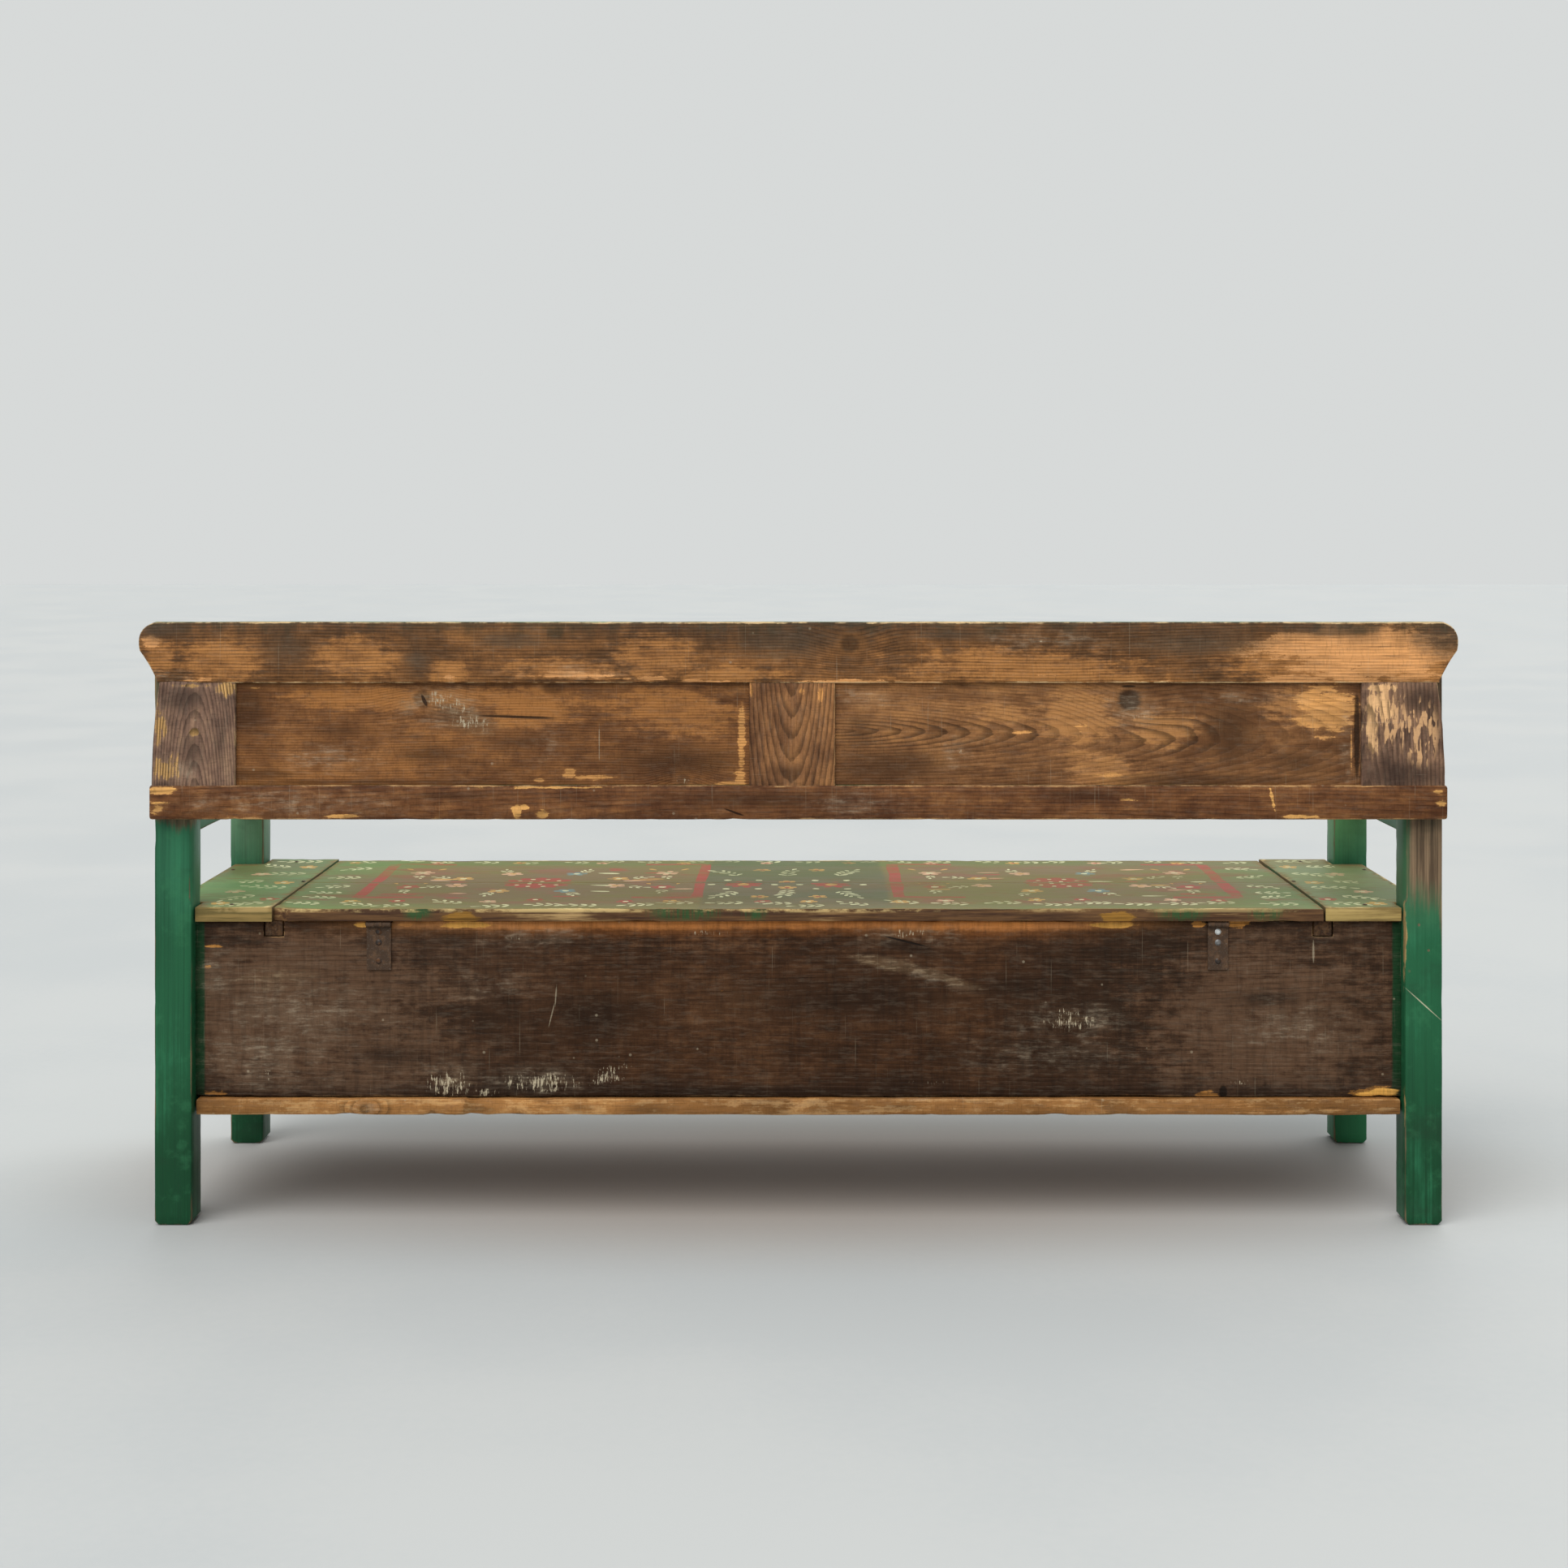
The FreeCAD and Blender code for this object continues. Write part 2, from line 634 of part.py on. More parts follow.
# Hinges: a strap on the back board, a leaf under the lid, and the pin they turn on
bore = S.pin_radius + S.pin_clearance
clear = S.knuckle_radius + S.knuckle_gap
for side, name in SIDES:
    centre = side * hinge_x
    third = hinge_width[name] / 3
    left_edge, right_edge = centre - hinge_width[name] / 2, centre + hinge_width[name] / 2
    knuckle_low, knuckle_high = left_edge + third, right_edge - third

    strap = new_body(f"hinge_strap_{name}")
    pad(strap, "XZ", [box(left_edge, right_edge, axis_z - S.strap_length, axis_z)],
        rear_face, rear_face + S.leaf_thickness)
    round_outline = [((axis_y + S.knuckle_radius, axis_z), (axis_y, axis_z + S.knuckle_radius)),
                     ((axis_y - S.knuckle_radius, axis_z), (axis_y, axis_z - S.knuckle_radius))]
    pad(strap, "YZ", [round_outline], left_edge, knuckle_low)
    pad(strap, "YZ", [round_outline], knuckle_high, right_edge)
    pocket(strap, "XZ", [box(knuckle_low, knuckle_high, axis_z - clear, axis_z + clear)],
           rear_face - 1, axis_y + clear)
    drill(strap, "YZ", [(axis_y, axis_z)], bore, left_edge - 1, right_edge + 1)
    drill(strap, "XZ", [(centre, axis_z - drop) for drop in strap_screw_drops], screw_bore,
          rear_face - 1, rear_face + S.leaf_thickness + 1)
    pieces.append(strap)

    leaf = new_body(f"hinge_leaf_{name}")
    pad(leaf, "XY", [box(left_edge, right_edge, axis_y - S.lid_leaf_length, axis_y)],
        lid_low - S.leaf_thickness, lid_low)
    pad(leaf, "YZ", [round_outline], knuckle_low + S.knuckle_gap, knuckle_high - S.knuckle_gap)
    pocket(leaf, "XY", [box(left_edge - 1, knuckle_low + S.knuckle_gap, axis_y - clear, axis_y + 1),
                        box(knuckle_high - S.knuckle_gap, right_edge + 1, axis_y - clear, axis_y + 1)],
           lid_low - S.leaf_thickness - 1, lid_low + 1)
    drill(leaf, "YZ", [(axis_y, axis_z)], bore, left_edge - 1, right_edge + 1)
    drill(leaf, "XY", [(centre, y) for y in leaf_nail_ys], nail_bore,
          lid_low - S.leaf_thickness - 1, lid_low + 1)
    pieces.append(leaf)

# Backrest frame, planted on the rear faces of the back posts
panel_spans = [ordered(middle_high, stile_inner), ordered(-stile_inner, middle_low)]
groove_reach = S.panel_tongue_depth + S.end_gap
slot_spans = [(low - groove_reach, high + groove_reach) for low, high in panel_spans]
tenon_spans = [on_side(side, tenon_near - S.fit_gap, tenon_far + S.fit_gap) for side, _ in SIDES]
tenon_spans.append((middle_tenon_low - S.fit_gap, middle_tenon_high + S.fit_gap))
peg_low = back_y
peg_high = back_y + S.peg_length


def bore_rail(rail, pegs, dowels):
    """Bores a backrest piece for its tenon pegs and for the dowels from the posts."""
    if pegs:
        drill(rail, "XZ", pegs, peg_bore, peg_low - 1, peg_high + S.end_gap)
    if dowels:
        drill(rail, "XZ", dowels, dowel_bore, back_y - 1, back_y + S.dowel_bite + S.end_gap)


flat = outer_x - S.top_rail_inset
ear = flat + S.ear_reach
ear_z = top_rail_top - S.ear_drop
waist = ear - S.ear_undercut
low_turn = ear_z - S.top_rail_height * 0.16
slope_x = (ear + waist) / 2 - 2.5
slope_z = (low_turn + top_rail_low) / 2 + 1
top_rail = new_body("backrest_top_rail")
pad(top_rail, "XZ", [[
    (waist, top_rail_low),
    ((slope_x, slope_z), (ear - 1.5, low_turn)),
    ((ear - S.ear_reach * 0.14, ear_z + S.ear_drop * 0.45), (flat, top_rail_top)),
    (-flat, top_rail_top),
    ((-(ear - S.ear_reach * 0.14), ear_z + S.ear_drop * 0.45), (-(ear - 1.5), low_turn)),
    ((-slope_x, slope_z), (-waist, top_rail_low)),
]], back_y, rail_back)
slots = [box(low, high, top_rail_low - 1, top_rail_low + groove_reach) for low, high in slot_spans]
pocket(top_rail, "XZ", slots, slot_wide_front, slot_wide_back)
pocket(top_rail, "XZ", [box(low, high, top_rail_low - 1, top_rail_low + S.tenon_length + S.end_gap)
                        for low, high in tenon_spans], slot_wide_front, slot_wide_back)
bore_rail(top_rail, frame_pegs[0::2], [(side * post_x, dowel_heights[3]) for side, _ in SIDES])
pieces.append(top_rail)

bottom_rail = new_body("backrest_bottom_rail")
rail_half = outer_x + S.bottom_rail_overhang
pad(bottom_rail, "XZ", [box(-rail_half, rail_half, S.back_underside, bottom_rail_top)], back_y, rail_back)
slots = [box(low, high, bottom_rail_top - groove_reach, bottom_rail_top + 1) for low, high in slot_spans]
pocket(bottom_rail, "XZ", slots, slot_wide_front, slot_wide_back)
pocket(bottom_rail, "XZ", [box(low, high, bottom_rail_top - S.tenon_length - S.end_gap, bottom_rail_top + 1)
                           for low, high in tenon_spans], slot_wide_front, slot_wide_back)
bore_rail(bottom_rail, frame_pegs[1::2], [(side * post_x, dowel_heights[0]) for side, _ in SIDES])
pieces.append(bottom_rail)


def add_tenons(stile, low, high):
    pad(stile, "XZ", [box(low, high, top_rail_low, top_rail_low + S.tenon_length)], slot_front, slot_back)
    pad(stile, "XZ", [box(low, high, bottom_rail_top - S.tenon_length, bottom_rail_top)],
        slot_front, slot_back)


groove_low = bottom_rail_top - 1
groove_high = top_rail_low + 1
for side, name in SIDES:
    stile = new_body(f"backrest_stile_{name}")
    waist_x = outer_x - S.stile_waist_inset
    hip_x = outer_x - S.stile_hip_inset
    bulge = waist_x * 0.3 + hip_x * 0.7
    pad(stile, "XZ", [[(side * stile_inner, top_rail_low),
                       (side * stile_inner, bottom_rail_top),
                       (side * hip_x, bottom_rail_top),
                       ((side * bulge, bottom_rail_top + S.panel_opening * 0.55),
                        (side * waist_x, top_rail_low))]], back_y, stile_back)
    add_tenons(stile, *on_side(side, tenon_near, tenon_far))
    pocket(stile, "XZ", [box(*on_side(side, stile_inner - 1, stile_inner + groove_reach),
                             groove_low, groove_high)], slot_wide_front, slot_wide_back)
    tenon_pegs = frame_pegs[0:2] if side > 0 else frame_pegs[2:4]
    bore_rail(stile, tenon_pegs, [(side * post_x, height) for height in dowel_heights[1:3]])
    pieces.append(stile)

middle = new_body("backrest_stile_middle")
pad(middle, "XZ", [box(middle_low, middle_high, bottom_rail_top, top_rail_low)], back_y, stile_back)
add_tenons(middle, middle_tenon_low, middle_tenon_high)
pocket(middle, "XZ", [box(middle_low - 1, middle_low + groove_reach, groove_low, groove_high),
                      box(middle_high - groove_reach, middle_high + 1, groove_low, groove_high)],
       slot_wide_front, slot_wide_back)
bore_rail(middle, frame_pegs[4:6], [])
pieces.append(middle)


# Panels: a thin plate in the grooves with a raised field towards the sitter
def set_size(item, **sizes):
    for prop, size in sizes.items():
        size = as_size(size)
        setattr(item, prop, size.value)
        item.setExpression(prop, size.text)


def set_place(item, x, y, z, rotation=None):
    place = [as_size(part) for part in (x, y, z)]
    item.Placement = FreeCAD.Placement(
        FreeCAD.Vector(*(part.value for part in place)), rotation or FreeCAD.Rotation())
    for letter, part in zip("xyz", place):
        item.setExpression(f"Placement.Base.{letter}", part.text)


plate_thickness = S.tenon_thickness
plate_low = bottom_rail_top - S.panel_tongue_depth
plate_high = top_rail_low + S.panel_tongue_depth
for (_, name), (low, high) in zip(SIDES, panel_spans):
    plate = document.addObject("Part::Box", f"plate_{name}")
    plate_length = high - low + 2 * S.panel_tongue_depth
    set_size(plate, Length=plate_length, Width=plate_thickness, Height=plate_high - plate_low)
    set_place(plate, low - S.panel_tongue_depth, slot_front, plate_low)
    field = document.addObject("Part::Wedge", f"field_{name}")
    edge = S.panel_bevel
    rim = as_size(2)
    set_size(field, Xmin=rim, Xmax=high - low - rim, Ymin=0, Ymax=S.panel_field_rise,
             Zmin=rim, Zmax=S.panel_opening - rim, X2min=edge, X2max=high - low - edge,
             Z2min=edge, Z2max=S.panel_opening - edge)
    turn = FreeCAD.Rotation(FreeCAD.Vector(0, 0, 1), 180)
    set_place(field, high, slot_front, bottom_rail_top, turn)
    panel = document.addObject("Part::Fuse", f"backrest_panel_{name}")
    panel.Label = f"backrest_panel_{name}"
    panel.Base = plate
    panel.Tool = field
    pieces.append(panel)

# Fasteners: each node is a group of separate solids
TURNS = {
    "+X": FreeCAD.Rotation(FreeCAD.Vector(0, 1, 0), 90),
    "-X": FreeCAD.Rotation(FreeCAD.Vector(0, 1, 0), -90),
    "+Y": FreeCAD.Rotation(FreeCAD.Vector(1, 0, 0), -90),
    "-Y": FreeCAD.Rotation(FreeCAD.Vector(1, 0, 0), 90),
    "+Z": FreeCAD.Rotation(),
    "-Z": FreeCAD.Rotation(FreeCAD.Vector(1, 0, 0), 180),
}


def rod(name, place, heading, radius, length):
    """A round bar that starts at a place and runs along a heading."""
    item = document.addObject("Part::Cylinder", name)
    set_size(item, Radius=radius, Height=length)
    set_place(item, *place, TURNS[heading])
    return item


def nail(name, place, heading, radius, length, head_radius, head_height):
    """A shank that runs along the heading from the surface, with a domed head outside it."""
    shank = rod(f"{name}_shank", place, heading, radius, length)
    outside = {"+": "-", "-": "+"}[heading[0]] + heading[1]
    head = document.addObject("Part::Cone", f"{name}_head")
    set_size(head, Radius1=head_radius, Radius2=head_radius * 0.55, Height=head_height)
    set_place(head, *place, TURNS[outside])
    whole = document.addObject("Part::Fuse", name)
    whole.Base = head
    whole.Tool = shank
    return whole


def group(label, items):
    holder = document.addObject("Part::Compound", label)
    holder.Label = label
    holder.Links = items
    pieces.append(holder)


for side, name in SIDES:
    pin_length = hinge_width[name] + 2 * S.pin_overhang
    pin = rod(f"hinge_pin_{name}", (side * hinge_x - pin_length / 2, axis_y, axis_z), "+X",
              S.pin_radius, pin_length)
    pin.Label = f"hinge_pin_{name}"
    pieces.append(pin)

screw_places = [(side * hinge_x, rear_face + S.leaf_thickness, axis_z - drop)
                for side, _ in SIDES for drop in strap_screw_drops]
screw_length = S.board_thickness + S.leaf_thickness - 5
group("hinge_strap_screws",
      [nail(f"strap_screw_{i}", place, "-Y", S.screw_radius, screw_length,
            S.screw_head_radius, S.screw_head_height)
       for i, place in enumerate(screw_places)])

leaf_places = [(side * hinge_x, y, lid_low - S.leaf_thickness) for side, _ in SIDES for y in leaf_nail_ys]
group("hinge_leaf_nails",
      [nail(f"leaf_nail_{i}", place, "+Z", S.nail_radius, nail_tip - lid_low + S.leaf_thickness,
            S.nail_head_radius, S.nail_head_height)
       for i, place in enumerate(leaf_places)])

batten_places = [(side * batten_x, y, batten_low) for side, _ in SIDES for y in batten_nail_ys]
group("batten_nails",
      [nail(f"batten_nail_{i}", place, "+Z", S.nail_radius, nail_tip - batten_low,
            S.nail_head_radius, S.nail_head_height)
       for i, place in enumerate(batten_places)])

seat_places = []
for side, _ in SIDES:
    seat_places += [(side * seat_nail_x, rear_board_middle, S.seat_height),
                    (side * seat_nail_x, front_board_middle, S.seat_height),
                    (side * bearer_nail_x, lid_middle_y, S.seat_height)]
    seat_places += [(side * side_middle, y, S.seat_height) for y in side_nail_ys]
group("seat_nails",
      [nail(f"seat_nail_{i}", place, "-Z", S.nail_radius, S.seat_thickness + S.nail_bite,
            S.nail_head_radius, S.nail_head_height)
       for i, place in enumerate(seat_places)])

floor_places = [(x, y, S.floor_underside) for y in (rear_board_middle, front_board_middle)
                for x in bottom_nail_xs]
floor_places += [(side * side_middle, y, S.floor_underside) for side, _ in SIDES for y in side_nail_ys]
group("bottom_nails",
      [nail(f"bottom_nail_{i}", place, "+Z", S.nail_radius, S.floor_thickness + S.nail_bite,
            S.nail_head_radius, S.nail_head_height)
       for i, place in enumerate(floor_places)])

group("backrest_pegs",
      [rod(f"frame_peg_{i}", (x, peg_low, z), "+Y", S.peg_radius, S.peg_length)
       for i, (x, z) in enumerate(frame_pegs)])

group("post_dowels",
      [rod(f"dowel_{name}_{i}", (side * post_x, back_post_front, height), "+Y",
           S.dowel_radius, S.post_side + S.dowel_bite)
       for side, name in SIDES for i, height in enumerate(dowel_heights)])

arm_pegs = []
for side, name in SIDES:
    heading = "-X" if side > 0 else "+X"
    deep = S.arm_tenon_width / 2 + 3
    arm_pegs.append(rod(f"arm_peg_rear_{name}", (side * outer_x, arm_peg_y, arm_peg_z), heading,
                        S.peg_radius, S.post_side / 2 + deep))
    deep = S.post_tenon_side / 2 + 3
    arm_pegs.append(rod(f"arm_peg_front_{name}",
                        (side * (post_x + S.arm_width / 2), post_peg_y, post_peg_z), heading,
                        S.peg_radius, S.arm_width / 2 + deep))
group("arm_pegs", arm_pegs)

# Checks, then one file for each piece
document.recompute()
for item in document.Objects:
    if "Invalid" in item.State or "Error" in item.State:
        raise RuntimeError(f"{item.Label} did not recompute: {item.State}")
os.makedirs("parts", exist_ok=True)
for item in pieces:
    shape = item.Shape
    if shape.isNull() or not shape.isValid() or not shape.Solids:
        raise RuntimeError(f"{item.Label} has no valid solid")
    shape.exportStep(f"parts/{item.Label}.step")
    print(f"{item.Label}: {len(shape.Solids)} solids, {shape.Volume / 1000:.1f} cm3")
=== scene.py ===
"""Looks for the painted chest bench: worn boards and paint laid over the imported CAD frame."""
import json
import math
import random
from functools import reduce

import bmesh
import bpy
import numpy as np
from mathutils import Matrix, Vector
from mathutils.geometry import delaunay_2d_cdt


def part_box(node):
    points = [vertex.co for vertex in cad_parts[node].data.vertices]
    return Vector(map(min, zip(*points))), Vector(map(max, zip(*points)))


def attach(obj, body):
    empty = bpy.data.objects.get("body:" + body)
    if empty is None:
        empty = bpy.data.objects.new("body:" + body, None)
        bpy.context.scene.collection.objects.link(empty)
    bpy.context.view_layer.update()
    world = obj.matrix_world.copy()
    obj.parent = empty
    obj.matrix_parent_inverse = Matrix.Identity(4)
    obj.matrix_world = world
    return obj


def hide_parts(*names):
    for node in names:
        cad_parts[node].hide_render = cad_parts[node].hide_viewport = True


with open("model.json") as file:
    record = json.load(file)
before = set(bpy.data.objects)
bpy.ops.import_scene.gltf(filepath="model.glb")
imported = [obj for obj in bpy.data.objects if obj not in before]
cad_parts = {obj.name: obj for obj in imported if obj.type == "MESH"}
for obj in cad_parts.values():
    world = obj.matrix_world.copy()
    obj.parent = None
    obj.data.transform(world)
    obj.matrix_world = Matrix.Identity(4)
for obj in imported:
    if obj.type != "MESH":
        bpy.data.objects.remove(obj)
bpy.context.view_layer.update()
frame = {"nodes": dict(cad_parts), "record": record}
BODY_OF = {node: body for body, nodes in frame["record"]["behaviour"]["bodies"].items() for node in nodes}

# Pixels of the photograph per metre on the planes that face the camera, its middle line and its eye level
REST_SCALE, BOARD_SCALE, POST_SCALE = 842.0, 831.0, 836.0
MIDDLE_PX, EYE_PX = 984.0, 652.0
EYE_HEIGHT = 1.0266
# Where the rear faces lie along y, and how deep a mark on one of them reaches
RAIL_FACE, STILE_FACE, PANEL_FACE, POST_FACE = 0.2785, 0.2770, 0.2705, 0.2535
LID_FACE, BOTTOM_FACE, BOARD_FACE = 0.2435, 0.2385, 0.2315
MARK_DEPTH = 0.014


def linear(rgb):
    """An sRGB colour, 0 to 255, as the linear RGBA that nodes use."""
    parts = [c / 255.0 for c in rgb]
    return tuple(c / 12.92 if c <= 0.04045 else ((c + 0.055) / 1.055) ** 2.4 for c in parts) + (1.0,)


def darker(rgb, share):
    return tuple(c * share for c in rgb)


# Node writing

class Wire:
    """A node output that takes part in ordinary arithmetic."""

    def __init__(self, tree, socket):
        self.tree = tree
        self.socket = socket

    def beside(self, name):
        """Another output of the same node."""
        return Wire(self.tree, self.socket.node.outputs[name])

    def __add__(self, other):
        return self.tree.math("ADD", self, other)

    def __sub__(self, other):
        return self.tree.math("SUBTRACT", self, other)

    def __rsub__(self, other):
        return self.tree.math("SUBTRACT", other, self)

    def __mul__(self, other):
        return self.tree.math("MULTIPLY", self, other)

    def __abs__(self):
        return self.tree.math("ABSOLUTE", self)


class Tree:
    """Writes the nodes of a material or a world."""

    def __init__(self, owner):
        owner.use_nodes = True
        self.nodes, self.links = owner.node_tree.nodes, owner.node_tree.links
        self.nodes.clear()

    def node(self, kind, inputs=(), out=0, **options):
        """One output of a new node, whose inputs are fed by name or by number."""
        made = self.nodes.new("ShaderNode" + kind)
        for name, value in options.items():
            setattr(made, name, value)
        for key, value in inputs.items() if isinstance(inputs, dict) else enumerate(inputs):
            if isinstance(value, Wire):
                self.links.new(value.socket, made.inputs[key])
            else:
                made.inputs[key].default_value = value
        return Wire(self, made.outputs[out])

    def end(self, kind, surface):
        self.links.new(surface.socket, self.nodes.new("ShaderNode" + kind).inputs[0])

    def split(self, vector):
        first = self.node("SeparateXYZ", [vector])
        return [first.beside(axis) for axis in "XYZ"]

    def math(self, operation, *values):
        return self.node("Math", values, operation=operation)

    def most(self, values):
        return reduce(lambda a, b: self.math("MAXIMUM", a, b), values)


class Net(Tree):
    """Writes one material, whose colour is a ground with coats over it.

    Places are in metres on the object as it stands at rest.
    """

    def __init__(self, name):
        self.material = bpy.data.materials.new(name)
        super().__init__(self.material)
        self.place = self.node("TexCoord", out="Object")
        self.x, self.y, self.z = self.split(self.place)
        self.nx, self.ny, self.nz = self.split(self.place.beside("Normal"))
        self.colour = None

    def ramp(self, value, low, high, bottom=0.0, top=1.0):
        """A smooth step from bottom at low to top at high."""
        return self.node("MapRange", (value, low, high, bottom, top), interpolation_type="SMOOTHSTEP")

    def mapped(self, scale, shift, angle=0.0, kind="POINT"):
        scale = scale if isinstance(scale, tuple) else (scale,) * 3
        return self.node("Mapping", {"Vector": self.place, "Location": shift, "Rotation": (0.0, angle, 0.0),
                                     "Scale": scale}, vector_type=kind)

    def noise(self, cells, detail, rough, seed):
        """Noise from 0 to 1 with so many cells per metre, the same or different along each axis."""
        place = self.mapped(cells, (seed, seed * 0.7, seed * 1.3))
        return self.node("TexNoise", {"Vector": place, "Scale": 1.0, "Detail": detail, "Roughness": rough})

    def specks(self, cells, size, share, seed):
        """Small round specks: size is a share of a cell, share is how many cells have one."""
        off = self.node("TexVoronoi", {"Vector": self.mapped(cells, (seed,) * 3), "Scale": 1.0}, "Distance")
        chosen = self.split(off.beside("Color"))[0]
        return self.ramp(off, size, size * 0.5) * self.ramp(chosen, 1.0 - share, 1.0 - share + 0.02)

    def reach(self, centre, radii, angle=0.0):
        """The distance from centre, as a share of an ellipsoid's radii."""
        off = self.mapped(radii, centre, angle, "TEXTURE")
        return self.node("VectorMath", [off], "Value", operation="LENGTH")

    def spot(self, centre, radii, ragged=0.0, soft=0.3):
        """A soft ellipse round centre, with an edge made ragged by noise."""
        return self.ramp(self.reach(centre, radii) + ragged, 1.0 + soft, 1.0 - soft)

    def attribute(self, name):
        return self.node("Attribute", out="Fac", attribute_name=name)

    def mix(self, share, first, second, blend="MIX"):
        """Two colours, wires or sRGB tuples, mixed or blended by share."""
        first, second = (linear(c) if isinstance(c, tuple) else c for c in (first, second))
        return self.node("Mix", {0: share, 6: first, 7: second}, 2, data_type="RGBA", blend_type=blend)

    def between(self, value, first, second, low=0.35, high=0.65):
        """The first colour where value is low, the second where it is high."""
        return self.mix(self.ramp(value, low, high), first, second)

    def shade(self, colour, share, depth):
        """Darkens a colour by up to depth where share is 1."""
        left = 1.0 - share * depth
        return self.mix(1.0, colour, self.node("CombineColor", (left, left, left)), "MULTIPLY")

    def coat(self, share, tone, blend="MIX"):
        """Lays a tone over the colour so far."""
        self.colour = self.mix(share, self.colour, tone, blend)

    def darken(self, share, depth):
        self.colour = self.shade(self.colour, share, depth)

    def finish(self, roughness, height, distance=0.001, strength=0.6, metallic=0.0, gleam=0.1):
        bump = self.node("Bump", {"Height": height, "Distance": distance, "Strength": strength})
        self.end("OutputMaterial", self.node("BsdfPrincipled", {
            "Base Color": self.colour, "Roughness": roughness, "Metallic": metallic,
            "Specular IOR Level": gleam, "Normal": bump}))
        return self.material


def lay(fibre, along, across):
    """Cells per metre for noise that runs with the fibre."""
    return tuple(along if axis == fibre else across for axis in "xyz")


def on_face(px, py, scale, face_y):
    """The place of a photo pixel on the face at face_y."""
    return (MIDDLE_PX - px) / scale, face_y, EYE_HEIGHT - (py - EYE_PX) / scale


def nearness(net, marks, scale, face_y):
    """How far inside the nearest mark a place is: 1 in its middle, 0 at its edge, less outside.

    A mark is (photo x, photo y, half width, half height[, strength[, angle]]).
    """
    made = []
    for px, py, wide, high, *rest in marks:
        strength, angle = rest + [1.0, 0.0][len(rest):]
        radii = wide / scale, MARK_DEPTH, high / scale
        made.append(strength - net.reach(on_face(px, py, scale, face_y), radii, math.radians(angle)))
    return net.most(made)


class Grain:
    """The shared fields of a piece of timber: year rings round a pith, fibres, streaks, stains, flaking.

    The pith is (place across the face, start along the fibre, depth behind the face, taper).
    """

    def __init__(self, net, fibre, face, seed, pitch=240.0, pith=None, bends=()):
        place = {"x": net.x, "y": net.y, "z": net.z}
        side = next(axis for axis in "xyz" if axis not in (fibre, face))
        self.streak = net.noise(lay(fibre, 6.0, 150.0), 4.0, 0.65, seed)
        self.fibre = net.noise(lay(fibre, 22.0, 560.0), 2.0, 0.6, seed + 3.1)
        self.stain = net.noise(lay(fibre, 4.5, 11.0), 5.0, 0.62, seed + 7.7)
        self.cloud = net.noise(lay(fibre, 1.6, 5.0), 2.0, 0.5, seed + 11.3)
        self.flake = net.noise(lay(fibre, 40.0, 90.0), 5.0, 0.72, seed + 13.9)
        self.mottle = net.noise(30.0, 4.0, 0.65, seed + 19.3)
        # The same fields about 0, for edges that they make ragged
        self.streak_off = self.streak - 0.5
        self.stain_off = self.stain - 0.5
        self.flake_off = self.flake - 0.5
        self.torn = self.streak_off * 2.2 + self.flake_off * 2.6 + self.stain_off * 1.4
        across, start, depth, taper = pith or (seed * 0.37 % 0.4 - 0.2, 0.0, 0.05, 0.02)
        wander = net.noise(lay(fibre, 1.4, 4.0), 2.0, 0.5, seed + 1.9) - 0.5
        off = place[side] - across + wander * 0.03
        down = (place[fibre] - start) * taper + depth
        radius = net.math("SQRT", off * off + down * down)
        for bend in bends:
            radius = radius + bend * 0.014
        part = net.math("FRACT", radius * pitch + self.streak * 0.5)
        self.late = net.ramp(part, 0.3, 0.9) * net.ramp(part, 1.0, 0.9)


